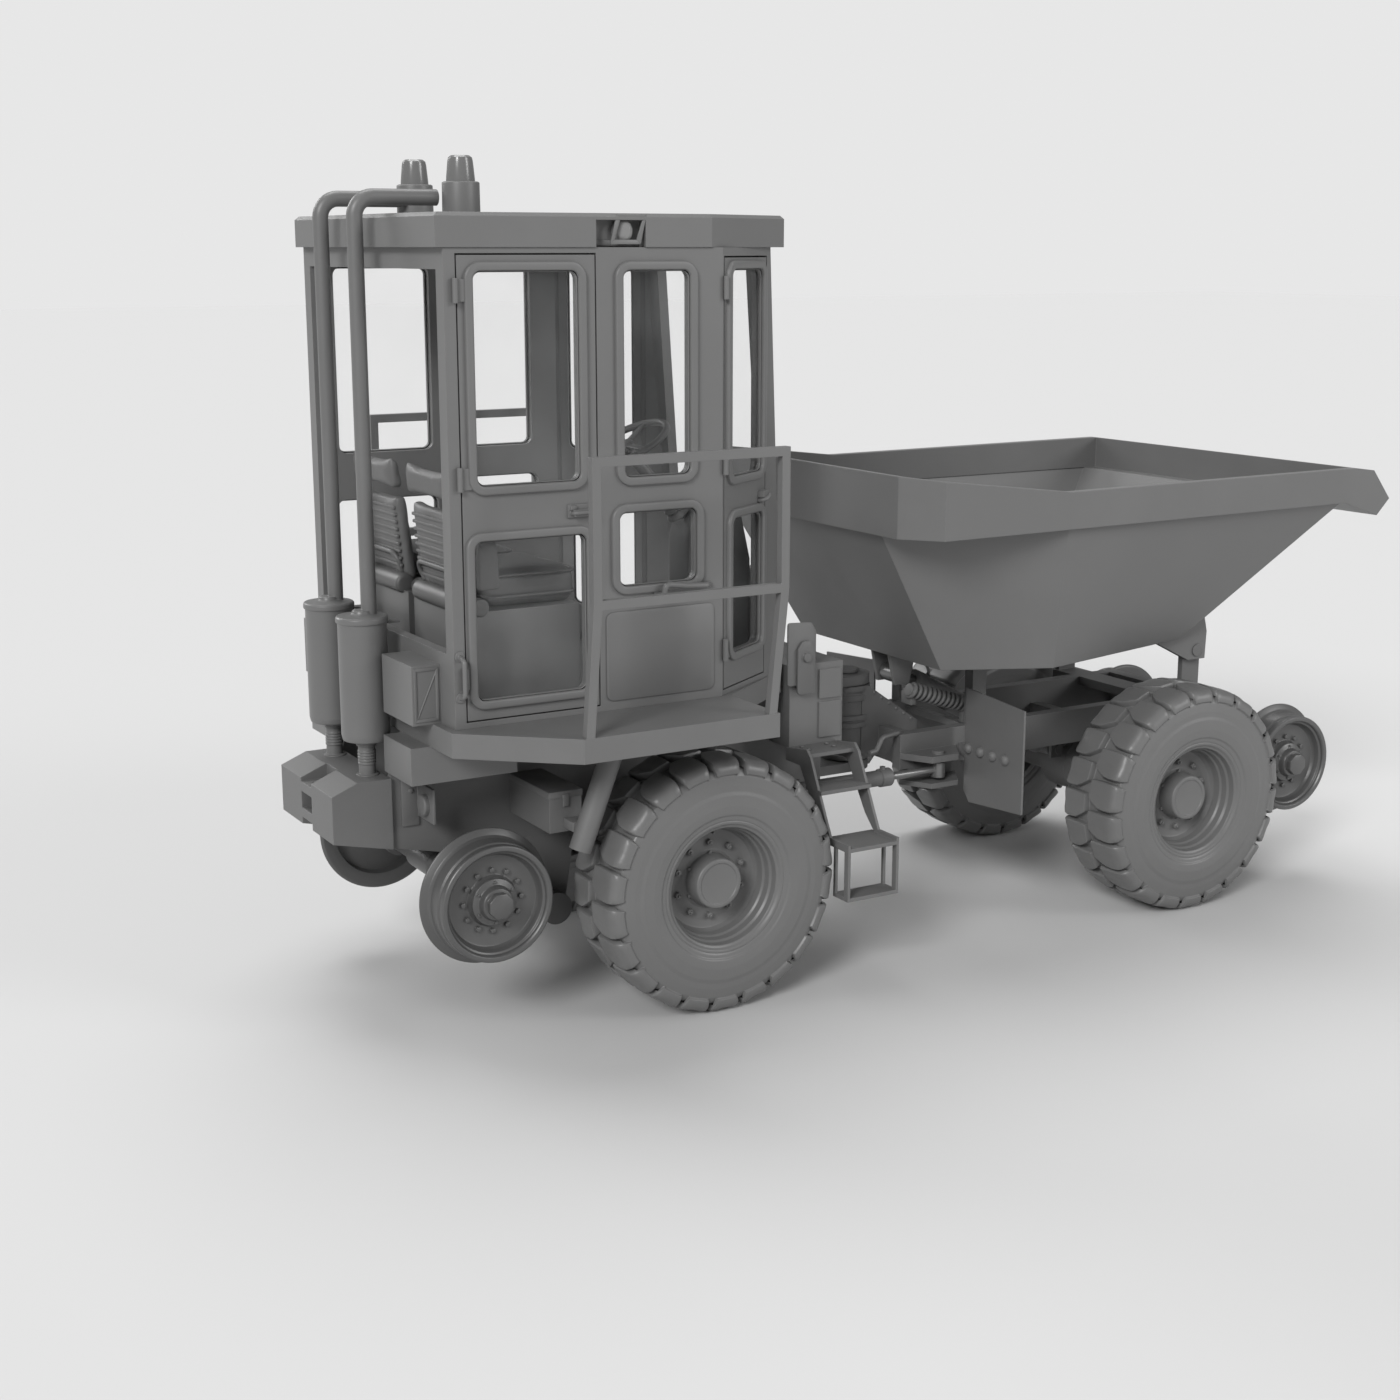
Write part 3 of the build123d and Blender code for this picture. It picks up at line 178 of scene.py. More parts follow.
def relief_group():
    """Rounded edges and a fine grain, with a mask of the edges."""
    group, nodes, links, given, out = shader_group(
        "relief",
        [("Edge radius", "NodeSocketFloat", 0.004),
         ("Grain scale", "NodeSocketFloat", 300.0),
         ("Grain depth", "NodeSocketFloat", 0.0002)],
        [("Normal", "NodeSocketVector"), ("Edge", "NodeSocketFloat")])
    bevel = nodes.new("ShaderNodeBevel")
    bevel.samples = BEVEL_SAMPLES
    links.new(given["Edge radius"], bevel.inputs["Radius"])
    where = nodes.new("ShaderNodeTexCoord")
    grain = nodes.new("ShaderNodeTexNoise")
    grain.inputs["Detail"].default_value = GRAIN_DETAIL
    links.new(where.outputs["Object"], grain.inputs["Vector"])
    links.new(given["Grain scale"], grain.inputs["Scale"])
    bump = nodes.new("ShaderNodeBump")
    links.new(given["Grain depth"], bump.inputs["Distance"])
    links.new(grain.outputs["Fac"], bump.inputs["Height"])
    links.new(bevel.outputs["Normal"], bump.inputs["Normal"])
    links.new(bump.outputs["Normal"], out["Normal"])
    face = nodes.new("ShaderNodeNewGeometry")
    dot = nodes.new("ShaderNodeVectorMath")
    dot.operation = "DOT_PRODUCT"
    links.new(bevel.outputs["Normal"], dot.inputs[0])
    links.new(face.outputs["Normal"], dot.inputs[1])
    spread = nodes.new("ShaderNodeMapRange")
    spread.inputs["From Min"].default_value = EDGE_START
    spread.inputs["From Max"].default_value = EDGE_FULL
    links.new(dot.outputs["Value"], spread.inputs["Value"])
    links.new(spread.outputs["Result"], out["Edge"])
    return group


def weather_group():
    """Colour mottled with dust and lightened on edges as wear and painted highlight, and a roughness that follows
    it.
    """
    group, nodes, links, given, out = shader_group(
        "weather",
        [("Colour", "NodeSocketColor", (0.15, 0.15, 0.15, 1)),
         ("Dust colour", "NodeSocketColor", (0.2, 0.2, 0.2, 1)),
         ("Dust", "NodeSocketFloat", 0.3),
         ("Patch scale", "NodeSocketFloat", 2.5),
         ("Edge", "NodeSocketFloat", 0.0),
         ("Edge colour", "NodeSocketColor", (0.25, 0.25, 0.25, 1)),
         ("Wear and highlight", "NodeSocketFloat", 0.4),
         ("Roughness", "NodeSocketFloat", 0.45)],
        [("Colour", "NodeSocketColor"), ("Roughness", "NodeSocketFloat")])
    where = nodes.new("ShaderNodeTexCoord")
    patch = nodes.new("ShaderNodeTexNoise")
    patch.inputs["Detail"].default_value = PATCH_DETAIL
    patch.inputs["Roughness"].default_value = PATCH_ROUGHNESS
    links.new(where.outputs["Object"], patch.inputs["Vector"])
    links.new(given["Patch scale"], patch.inputs["Scale"])
    amount = nodes.new("ShaderNodeMapRange")
    amount.inputs["From Min"].default_value = DUST_START
    amount.inputs["From Max"].default_value = DUST_FULL
    links.new(patch.outputs["Fac"], amount.inputs["Value"])
    links.new(given["Dust"], amount.inputs["To Max"])
    dusty = nodes.new("ShaderNodeMix")
    dusty.data_type = "RGBA"
    links.new(amount.outputs["Result"], dusty.inputs["Factor"])
    links.new(given["Colour"], dusty.inputs["A"])
    links.new(given["Dust colour"], dusty.inputs["B"])
    # edges are lightened in speckles towards the edge colour: partly wear, partly a painted highlight on every
    # edge
    edge_speckle = nodes.new("ShaderNodeTexNoise")
    edge_speckle.inputs["Scale"].default_value = EDGE_SPECKLE_SCALE
    links.new(where.outputs["Object"], edge_speckle.inputs["Vector"])
    speckled_edge = nodes.new("ShaderNodeMath")
    speckled_edge.operation = "MULTIPLY"
    links.new(given["Edge"], speckled_edge.inputs[0])
    links.new(edge_speckle.outputs["Fac"], speckled_edge.inputs[1])
    wear_and_highlight_mix = nodes.new("ShaderNodeMath")
    wear_and_highlight_mix.operation = "MULTIPLY"
    links.new(speckled_edge.outputs["Value"], wear_and_highlight_mix.inputs[0])
    links.new(given["Wear and highlight"], wear_and_highlight_mix.inputs[1])
    final = nodes.new("ShaderNodeMix")
    final.data_type = "RGBA"
    links.new(wear_and_highlight_mix.outputs["Value"], final.inputs["Factor"])
    links.new(dusty.outputs["Result"], final.inputs["A"])
    links.new(given["Edge colour"], final.inputs["B"])
    links.new(final.outputs["Result"], out["Colour"])
    rough = nodes.new("ShaderNodeMath")
    rough.operation = "MULTIPLY_ADD"
    rough.inputs[1].default_value = DUST_ROUGHENS
    links.new(amount.outputs["Result"], rough.inputs[0])
    links.new(given["Roughness"], rough.inputs[2])
    links.new(rough.outputs["Value"], out["Roughness"])
    return group


RELIEF = relief_group()
WEATHER = weather_group()
print("shader groups:", RELIEF.name, "and", WEATHER.name)

# %% [markdown]
# All finishes are close greys, because the photographed machine wears one grey from tyre to beacon. They differ
# in gloss and grain: tyres are smooth and shiny, the seats have a vinyl grain, the decks are dull, and the rods
# are smooth metal. Gloss and metal stay on the shader's own sockets.

# %% Finishes
# how much lighter dust is, and how much lighter the edge colour is: edge wear and a painted highlight
DUST_LIGHTER, EDGE_LIGHTER = 1.18, 1.9
GLASS_COLOUR, GLASS_ROUGHNESS = (0.8, 0.82, 0.82, 1), 0.04
HAZE_SCALE, HAZE_DETAIL = 3, 5
# noise levels between which the haze grows, and how opaque clean and hazy glass are
HAZE_RANGE = (0.35, 0.8)
GLASS_ALPHA = (0.01, 0.04)


def grey(level):
    return (level, level, level * 0.995, 1)


# name: level of grey, roughness, dust, edge wear and painted highlight, edge radius, grain scale, grain depth,
# metallic
FINISHES = {
    "body_paint": (0.150, 0.40, 0.30, 0.50, 0.0040, 260, 0.00015, 0.0),
    "chassis_paint": (0.128, 0.46, 0.45, 0.55, 0.0040, 180, 0.00025, 0.0),
    "skip_paint": (0.138, 0.44, 0.40, 0.60, 0.0060, 140, 0.00030, 0.0),
    "wheel_paint": (0.140, 0.38, 0.35, 0.50, 0.0030, 220, 0.00015, 0.0),
    "tyre_rubber": (0.142, 0.36, 0.35, 0.30, 0.0050, 120, 0.00040, 0.0),
    "rail_steel": (0.115, 0.36, 0.40, 0.60, 0.0030, 160, 0.00030, 0.4),
    "deck_steel": (0.140, 0.52, 0.50, 0.60, 0.0040, 420, 0.00050, 0.0),
    "cast_metal": (0.132, 0.50, 0.45, 0.50, 0.0060, 130, 0.00060, 0.0),
    "exhaust_steel": (0.140, 0.38, 0.35, 0.40, 0.0040, 200, 0.00020, 0.0),
    "rod_chrome": (0.200, 0.30, 0.15, 0.10, 0.0020, 300, 0.00005, 0.6),
    "seat_cover": (0.128, 0.48, 0.30, 0.20, 0.0040, 520, 0.00060, 0.0),
    "seat_shell": (0.122, 0.46, 0.30, 0.30, 0.0040, 520, 0.00050, 0.0),
    "black_plastic": (0.105, 0.42, 0.30, 0.30, 0.0030, 480, 0.00040, 0.0),
    "beacon_plastic": (0.165, 0.20, 0.15, 0.20, 0.0030, 60, 0.00005, 0.0),
    "lamp_lens": (0.220, 0.16, 0.10, 0.10, 0.0020, 60, 0.00005, 0.0),
    "hose_rubber": (0.120, 0.40, 0.30, 0.20, 0.0010, 500, 0.00020, 0.0),
}


def finish(name, level, roughness, dust, wear_and_highlight, edge_radius, grain_scale, grain_depth, metallic):
    material = bpy.data.materials.new(name)
    material.use_nodes = True
    nodes, links = material.node_tree.nodes, material.node_tree.links
    shader = nodes["Principled BSDF"]
    shader.inputs["Metallic"].default_value = metallic
    relief = nodes.new("ShaderNodeGroup")
    relief.node_tree = RELIEF
    relief.inputs["Edge radius"].default_value = edge_radius
    relief.inputs["Grain scale"].default_value = grain_scale
    relief.inputs["Grain depth"].default_value = grain_depth
    weather = nodes.new("ShaderNodeGroup")
    weather.node_tree = WEATHER
    weather.inputs["Colour"].default_value = grey(level)
    weather.inputs["Dust colour"].default_value = grey(level * DUST_LIGHTER)
    # lighter edge colour: edge wear and a painted highlight
    weather.inputs["Edge colour"].default_value = grey(level * EDGE_LIGHTER)
    weather.inputs["Dust"].default_value = dust
    weather.inputs["Wear and highlight"].default_value = wear_and_highlight
    weather.inputs["Roughness"].default_value = roughness
    links.new(relief.outputs["Edge"], weather.inputs["Edge"])
    links.new(weather.outputs["Colour"], shader.inputs["Base Color"])
    links.new(weather.outputs["Roughness"], shader.inputs["Roughness"])
    links.new(relief.outputs["Normal"], shader.inputs["Normal"])
    return material


def glass_finish():
    """Clear glass that dims a little where dust lies on it."""
    material = bpy.data.materials.new("glazing")
    material.use_nodes = True
    nodes, links = material.node_tree.nodes, material.node_tree.links
    shader = nodes["Principled BSDF"]
    shader.inputs["Base Color"].default_value = GLASS_COLOUR
    shader.inputs["Roughness"].default_value = GLASS_ROUGHNESS
    where = nodes.new("ShaderNodeTexCoord")
    haze = nodes.new("ShaderNodeTexNoise")
    haze.inputs["Scale"].default_value = HAZE_SCALE
    haze.inputs["Detail"].default_value = HAZE_DETAIL
    links.new(where.outputs["Object"], haze.inputs["Vector"])
    veil = nodes.new("ShaderNodeMapRange")
    veil.inputs["From Min"].default_value = HAZE_RANGE[0]
    veil.inputs["From Max"].default_value = HAZE_RANGE[1]
    veil.inputs["To Min"].default_value = GLASS_ALPHA[0]
    veil.inputs["To Max"].default_value = GLASS_ALPHA[1]
    links.new(haze.outputs["Fac"], veil.inputs["Value"])
    links.new(veil.outputs["Result"], shader.inputs["Alpha"])
    return material


MATERIALS = {name: finish(name, *row) for name, row in FINISHES.items()}
MATERIALS["glazing"] = glass_finish()
for part in frame["record"]["subparts"]:
    solid = frame["nodes"][part["node"]]
    solid.data.materials.clear()
    solid.data.materials.append(MATERIALS[part["material_slot"]])
print(len(MATERIALS), "finishes on", len(frame["nodes"]), "solids")

# %% [markdown]
# Most round things here are turned: a closed outline swept about an axis. The helpers below turn such outlines,
# round their corners, cut plates with softened edges and put the results in place. They work on plain mesh data,
# so each piece can be joined from as many shapes as it needs before it becomes one object.

# %% Shape helpers
SMOOTH_ANGLE = 38
# radians: a corner flatter than the first stays, and an edge sharper than the second is softened
NEARLY_STRAIGHT, HARD_EDGE = 3.1, 0.6
# share of an outline's side that the arc at one corner may take
CORNER_SHARE = 0.45
ON_AXIS = 1e-5


def rounded(points, radius, steps=3, closed=False):
    """The outline with an arc at each corner."""
    out = []
    last = len(points) - 1
    for i, point in enumerate(points):
        here = Vector(point)
        if not closed and i in (0, last):
            out.append(here)
            continue
        back = Vector(points[i - 1]) - here
        ahead = Vector(points[(i + 1) % (last + 1)]) - here
        angle = back.angle(ahead)
        if angle > NEARLY_STRAIGHT:
            out.append(here)
            continue
        cut = min(radius / math.tan(angle / 2), CORNER_SHARE * back.length, CORNER_SHARE * ahead.length)
        start, end = here + back.normalized() * cut, here + ahead.normalized() * cut
        for k in range(steps + 1):
            t = k / steps
            out.append(start * (1 - t) ** 2 + here * 2 * t * (1 - t) + end * t * t)
    return out


def turned(profile, sides=72):
    """Shape turned about the Y axis from a closed outline of (offset along Y, radius) points."""
    shape = bmesh.new()
    rings = []
    for offset, radius in profile:
        if radius < ON_AXIS:
            rings.append([shape.verts.new((0, offset, 0))])
            continue
        turns = [2 * math.pi * k / sides for k in range(sides)]
        rings.append([shape.verts.new((radius * math.sin(t), offset, radius * math.cos(t))) for t in turns])
    for a, b in zip(rings, rings[1:] + rings[:1]):
        for k in range(sides):
            near = [a[0]] if len(a) == 1 else [a[k], a[(k + 1) % sides]]
            far = [b[0]] if len(b) == 1 else [b[(k + 1) % sides], b[k]]
            if len(near) + len(far) > 2:
                shape.faces.new(near + far)
    bmesh.ops.recalc_face_normals(shape, faces=shape.faces)
    return shape


def plate(outline, thickness, bevel=0.002, steps=2):
    """Flat plate cut to an outline in X and Y, from Z = 0 up, with softened edges."""
    shape = bmesh.new()
    base = shape.faces.new([shape.verts.new((x, y, 0)) for x, y in outline])
    lifted = bmesh.ops.extrude_face_region(shape, geom=[base])["geom"]
    top = [v for v in lifted if isinstance(v, bmesh.types.BMVert)]
    bmesh.ops.translate(shape, vec=(0, 0, thickness), verts=top)
    bmesh.ops.recalc_face_normals(shape, faces=shape.faces)
    if bevel:
        hard = [e for e in shape.edges if e.calc_face_angle(0) > HARD_EDGE]
        bmesh.ops.bevel(shape, geom=hard, offset=bevel, segments=steps, profile=0.5, affect="EDGES")
    return shape


def strip(outline, width, thickness, bevel=0.0015):
    """Four flat bars that make a frame of an even width inside an outline with four corners."""
    middle_point = sum((Vector(point) for point in outline), Vector((0, 0))) / len(outline)
    inner = []
    for point in outline:
        way = middle_point - Vector(point)
        inner.append(Vector(point) + Vector((math.copysign(width, way.x), math.copysign(width, way.y))))
    bars = []
    for k in range(len(outline)):
        n = (k + 1) % len(outline)
        bars.append(plate([outline[k], outline[n], inner[n], inner[k]], thickness, bevel))
    return bars


def slab(low, high, bevel=0.004, steps=2):
    """Box between two corners with softened edges."""
    outline = [(low[0], low[1]), (high[0], low[1]), (high[0], high[1]), (low[0], high[1])]
    shape = plate(outline, high[2] - low[2], bevel, steps)
    bmesh.ops.translate(shape, vec=(0, 0, low[2]), verts=shape.verts)
    return shape


def between(start, end):
    """Placement that lays the Y axis from start towards end."""
    way = Vector(end) - Vector(start)
    return Matrix.Translation(Vector(start)) @ way.to_track_quat("Y", "Z").to_matrix().to_4x4()


def moved(x=0.0, y=0.0, z=0.0):
    return Matrix.Translation((x, y, z))


SIDES = {"left": 1, "right": -1}
# what turns a shape made for the left side into each side's own
MIRRORS = {"left": Matrix(), "right": Matrix.Scale(-1, 4, (0, 1, 0))}
# turns that stand a plate on its edge, face a wheel the other way, and lay the Y axis along X
UPRIGHT = Matrix.Rotation(math.pi / 2, 4, "X")
HALF_TURN = Matrix.Rotation(math.pi, 4, "Z")
OUT_X = Matrix.Rotation(math.pi / 2, 4, "Z")


def both_sides(parts):
    """(shape, placement) pairs made for the left side, then the same mirrored for the right."""
    return [(shape.copy(), mirror @ place) for mirror in MIRRORS.values() for shape, place in parts]


def merged(parts):
    """One shape from several (shape, placement) pairs."""
    whole = bmesh.new()
    for shape, place in parts:
        mesh = bpy.data.meshes.new("part")
        shape.to_mesh(mesh)
        mesh.transform(place)
        whole.from_mesh(mesh)
        bpy.data.meshes.remove(mesh)
    return whole


def gather(parts):
    """The same with all faces turned outwards."""
    whole = merged(parts)
    bmesh.ops.recalc_face_normals(whole, faces=whole.faces)
    return whole


def piece(name, shape, material, body, stands_for=(), angle=SMOOTH_ANGLE):
    """Finished object from a shape, riding on a body."""
    mesh = bpy.data.meshes.new(name)
    shape.to_mesh(mesh)
    shape.free()
    mesh.materials.append(MATERIALS[material])
    mesh.shade_smooth()
    mesh.set_sharp_from_angle(angle=math.radians(angle))
    obj = bpy.data.objects.new(name, mesh)
    SCENE.collection.objects.link(obj)
    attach(obj, body)
    if stands_for:
        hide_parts(*stands_for)
    print(f"{name}: {len(mesh.polygons)} faces")
    return obj


# %% [markdown]
# Bolts, tyre lugs and rivets repeat around a ring or along a line, and hoses and tubes follow a path. Those are
# jobs for Geometry Nodes: one tree for a ring of copies, and others for a row, a tube, a window's bead and a coil.
# Each tree has named inputs, and the helper below runs it, takes its mesh and throws the tree's object away.

# %% Geometry Nodes helpers
# points on the bead's corners and on its section's corners, and how round that section is
BEAD_CORNER_STEPS, BEAD_SECTION_STEPS, BEAD_SOFTNESS = 8, 3, 0.007
# points on each turn of a coil, and sides of its wire
COIL_STEPS, WIRE_SIDES = 20, 10


def node_tree(name, inputs):
    group = bpy.data.node_groups.new(name, "GeometryNodeTree")
    group.interface.new_socket("Geometry", in_out="OUTPUT", socket_type="NodeSocketGeometry")
    for label, kind, value in inputs:
        socket = group.interface.new_socket(label, in_out="INPUT", socket_type=kind)
        if value is not None:
            socket.default_value = value
    start = group.nodes.new("NodeGroupInput")
    end = group.nodes.new("NodeGroupOutput")
    return group, group.nodes, group.links, start.outputs, end.inputs


def close_tree(nodes, links, geometry, given, out):
    """Realize the instances, set the material and hand the mesh out."""
    real = nodes.new("GeometryNodeRealizeInstances")
    painted = nodes.new("GeometryNodeSetMaterial")
    links.new(geometry, real.inputs["Geometry"])
    links.new(real.outputs["Geometry"], painted.inputs["Geometry"])
    links.new(given["Material"], painted.inputs["Material"])
    links.new(painted.outputs["Geometry"], out["Geometry"])


def ring_tree():
    """Copies of an object around the Y axis."""
    group, nodes, links, given, out = node_tree(
        "ring of copies",
        [("Count", "NodeSocketInt", 8),
         ("Radius", "NodeSocketFloat", 0.1),
         ("First turn", "NodeSocketFloat", 0.0),
         ("Copy", "NodeSocketObject", None),
         ("Material", "NodeSocketMaterial", None)])
    index = nodes.new("GeometryNodeInputIndex")
    pitch = nodes.new("ShaderNodeMath")
    pitch.operation = "DIVIDE"
    pitch.inputs[0].default_value = 2 * math.pi
    links.new(given["Count"], pitch.inputs[1])
    turn = nodes.new("ShaderNodeMath")
    turn.operation = "MULTIPLY_ADD"
    links.new(index.outputs[0], turn.inputs[0])
    links.new(pitch.outputs[0], turn.inputs[1])
    links.new(given["First turn"], turn.inputs[2])
    spin = nodes.new("ShaderNodeCombineXYZ")
    links.new(turn.outputs[0], spin.inputs["Y"])
    arm = nodes.new("ShaderNodeCombineXYZ")
    links.new(given["Radius"], arm.inputs["Z"])
    swing = nodes.new("ShaderNodeVectorRotate")
    swing.rotation_type = "EULER_XYZ"
    links.new(arm.outputs[0], swing.inputs["Vector"])
    links.new(spin.outputs[0], swing.inputs["Rotation"])
    points = nodes.new("GeometryNodePoints")
    links.new(given["Count"], points.inputs["Count"])
    links.new(swing.outputs[0], points.inputs["Position"])
    copy = nodes.new("GeometryNodeObjectInfo")
    links.new(given["Copy"], copy.inputs["Object"])
    place = nodes.new("GeometryNodeInstanceOnPoints")
    links.new(points.outputs[0], place.inputs["Points"])
    links.new(copy.outputs["Geometry"], place.inputs["Instance"])
    links.new(spin.outputs[0], place.inputs["Rotation"])
    close_tree(nodes, links, place.outputs[0], given, out)
    return group


def row_tree():
    """Copies of an object along a straight line."""
    group, nodes, links, given, out = node_tree(
        "row of copies",
        [("Count", "NodeSocketInt", 4),
         ("Start", "NodeSocketVector", (0, 0, 0)),
         ("Step", "NodeSocketVector", (0, 0, 1)),
         ("Copy", "NodeSocketObject", None),
         ("Material", "NodeSocketMaterial", None)])
    line = nodes.new("GeometryNodeMeshLine")
    links.new(given["Count"], line.inputs["Count"])
    links.new(given["Start"], line.inputs["Start Location"])
    links.new(given["Step"], line.inputs["Offset"])
    copy = nodes.new("GeometryNodeObjectInfo")
    links.new(given["Copy"], copy.inputs["Object"])
    place = nodes.new("GeometryNodeInstanceOnPoints")
    links.new(line.outputs[0], place.inputs["Points"])
    links.new(copy.outputs["Geometry"], place.inputs["Instance"])
    close_tree(nodes, links, place.outputs[0], given, out)
    return group


def tube_tree():
    """Round tube along the object's own line, with its corners rounded."""
    group, nodes, links, given, out = node_tree(
        "tube along a path",
        [("Path", "NodeSocketGeometry", None), ("Radius", "NodeSocketFloat", 0.01),
         ("Bend radius", "NodeSocketFloat", 0.05),
         ("Sides", "NodeSocketInt", 20),
         ("Bend steps", "NodeSocketInt", 8),
         ("Material", "NodeSocketMaterial", None)])
    bend = nodes.new("GeometryNodeFilletCurve")
    bend.mode = "POLY"
    links.new(given["Path"], bend.inputs["Curve"])
    links.new(given["Bend radius"], bend.inputs["Radius"])
    links.new(given["Bend steps"], bend.inputs["Count"])
    section = nodes.new("GeometryNodeCurvePrimitiveCircle")
    links.new(given["Sides"], section.inputs["Resolution"])
    links.new(given["Radius"], section.inputs["Radius"])
    sweep = nodes.new("GeometryNodeCurveToMesh")
    links.new(bend.outputs[0], sweep.inputs["Curve"])
    links.new(section.outputs[0], sweep.inputs["Profile Curve"])
    sweep.inputs["Fill Caps"].default_value = True
    close_tree(nodes, links, sweep.outputs[0], given, out)
    return group


def bead_tree():
    """Raised frame around a window: a half-round section along a rectangle with round corners."""
    group, nodes, links, given, out = node_tree(
        "bead around a window",
        [("Width", "NodeSocketFloat", 0.4),
         ("Height", "NodeSocketFloat", 0.6),
         ("Corner", "NodeSocketFloat", 0.05),
         ("Bead width", "NodeSocketFloat", 0.03),
         ("Bead height", "NodeSocketFloat", 0.03),
         ("Material", "NodeSocketMaterial", None)])
    frame_line = nodes.new("GeometryNodeCurvePrimitiveQuadrilateral")
    links.new(given["Width"], frame_line.inputs["Width"])
    links.new(given["Height"], frame_line.inputs["Height"])
    corner = nodes.new("GeometryNodeFilletCurve")
    corner.mode = "POLY"
    corner.inputs["Count"].default_value = BEAD_CORNER_STEPS
    links.new(frame_line.outputs[0], corner.inputs["Curve"])
    links.new(given["Corner"], corner.inputs["Radius"])
    section = nodes.new("GeometryNodeCurvePrimitiveQuadrilateral")
    links.new(given["Bead width"], section.inputs["Width"])
    links.new(given["Bead height"], section.inputs["Height"])
    soft = nodes.new("GeometryNodeFilletCurve")
    soft.mode = "POLY"
    soft.inputs["Count"].default_value = BEAD_SECTION_STEPS
    soft.inputs["Radius"].default_value = BEAD_SOFTNESS
    links.new(section.outputs[0], soft.inputs["Curve"])
    sweep = nodes.new("GeometryNodeCurveToMesh")
    links.new(corner.outputs[0], sweep.inputs["Curve"])
    links.new(soft.outputs[0], sweep.inputs["Profile Curve"])
    close_tree(nodes, links, sweep.outputs[0], given, out)
    return group


def coil_tree():
    """Wire wound round the Z axis."""
    group, nodes, links, given, out = node_tree(
        "coil",
        [("Turns", "NodeSocketFloat", 10.0),
         ("Radius", "NodeSocketFloat", 0.03),
         ("Length", "NodeSocketFloat", 0.3),
         ("Wire", "NodeSocketFloat", 0.008), ("Material", "NodeSocketMaterial", None)])
    spiral = nodes.new("GeometryNodeCurveSpiral")
    spiral.inputs["Resolution"].default_value = COIL_STEPS
    links.new(given["Turns"], spiral.inputs["Rotations"])
    links.new(given["Radius"], spiral.inputs["Start Radius"])
    links.new(given["Radius"], spiral.inputs["End Radius"])
    links.new(given["Length"], spiral.inputs["Height"])
    section = nodes.new("GeometryNodeCurvePrimitiveCircle")
    section.inputs["Resolution"].default_value = WIRE_SIDES
    links.new(given["Wire"], section.inputs["Radius"])
    sweep = nodes.new("GeometryNodeCurveToMesh")
    links.new(spiral.outputs[0], sweep.inputs["Curve"])
    links.new(section.outputs[0], sweep.inputs["Profile Curve"])
    sweep.inputs["Fill Caps"].default_value = True
    close_tree(nodes, links, sweep.outputs[0], given, out)
    return group


TREES = [ring_tree(), row_tree(), tube_tree(), bead_tree(), coil_tree()]
RING, ROW, TUBE, BEAD, COIL = TREES
print("trees:", ", ".join(tree.name for tree in TREES))


def grown(group, values, start=None):
    """Shape that a tree makes with these values, from a start object or from nothing."""
    if start is None:
        start = bpy.data.objects.new("seed", bpy.data.meshes.new("seed"))
        SCENE.collection.objects.link(start)
    modifier = start.modifiers.new("tree", "NODES")
    modifier.node_group = group
    for socket in group.interface.items_tree:
        if socket.in_out == "INPUT" and socket.name in values:
            modifier[socket.identifier] = values[socket.name]
    evaluated = start.evaluated_get(bpy.context.evaluated_depsgraph_get())
    mesh = bpy.data.meshes.new_from_object(evaluated)
    start.modifiers.remove(modifier)
    bpy.data.objects.remove(start)
    shape = bmesh.new()
    shape.from_mesh(mesh)
    bpy.data.meshes.remove(mesh)
    return shape


def pattern(shape):
    """Hidden object that a tree copies."""
    mesh = bpy.data.meshes.new("pattern")
    shape.to_mesh(mesh)
    obj = bpy.data.objects.new("pattern", mesh)
    SCENE.collection.objects.link(obj)
    return obj


def ring(shape, count, radius, first_turn=0.0):
    copy = pattern(shape)
    made = grown(RING, {"Count": count, "Radius": radius, "First turn": first_turn, "Copy": copy})
    bpy.data.objects.remove(copy)
    return made


def row(shape, count, start, step):
    copy = pattern(shape)
    made = grown(ROW, {"Count": count, "Start": start, "Step": step, "Copy": copy})
    bpy.data.objects.remove(copy)
    return made


def tube(points, radius, bend, sides=20):
    line = bpy.data.curves.new("line", "CURVE")
    line.dimensions = "3D"
    spline = line.splines.new("POLY")
    spline.points.add(len(points) - 1)
    for target, point in zip(spline.points, points):
        target.co = (*point, 1)
    path = bpy.data.objects.new("line", line)
    SCENE.collection.objects.link(path)
    return grown(TUBE, {"Radius": radius, "Bend radius": bend, "Sides": sides}, path)


# %% [markdown]
# A dump truck's tyre carries two rows of big lugs, set half a pitch apart so that one row always grips. The
# carcass is turned. One lug is a small curved pad that follows the crown, wraps over the shoulder and narrows
# towards the middle. A ring tree then sets the copies round each side, which keeps the lug count in one place.

# %% Tyres
LUG_COUNT = 22
# across the tread: offset from the middle, radius of the top, half length at the front and at the back, base depth
LUG_ROWS = [
    (0.010, 0.5330, 0.020, 0.060, 0.036), (0.014, 0.5395, 0.026, 0.066, 0.036),
    (0.040, 0.5405, 0.044, 0.068, 0.036), (0.075, 0.5400, 0.064, 0.069, 0.036),
    (0.110, 0.5385, 0.068, 0.069, 0.036), (0.138, 0.5360, 0.068, 0.068, 0.034),
    (0.156, 0.5310, 0.066, 0.066, 0.028), (0.169, 0.5210, 0.063, 0.063, 0.018),
    (0.177, 0.5070, 0.060, 0.060, 0.012), (0.181, 0.4900, 0.056, 0.056, 0.010),
    (0.181, 0.4800, 0.052, 0.052, 0.012)]
CROWN_RADIUS = LUG_ROWS[3][1]
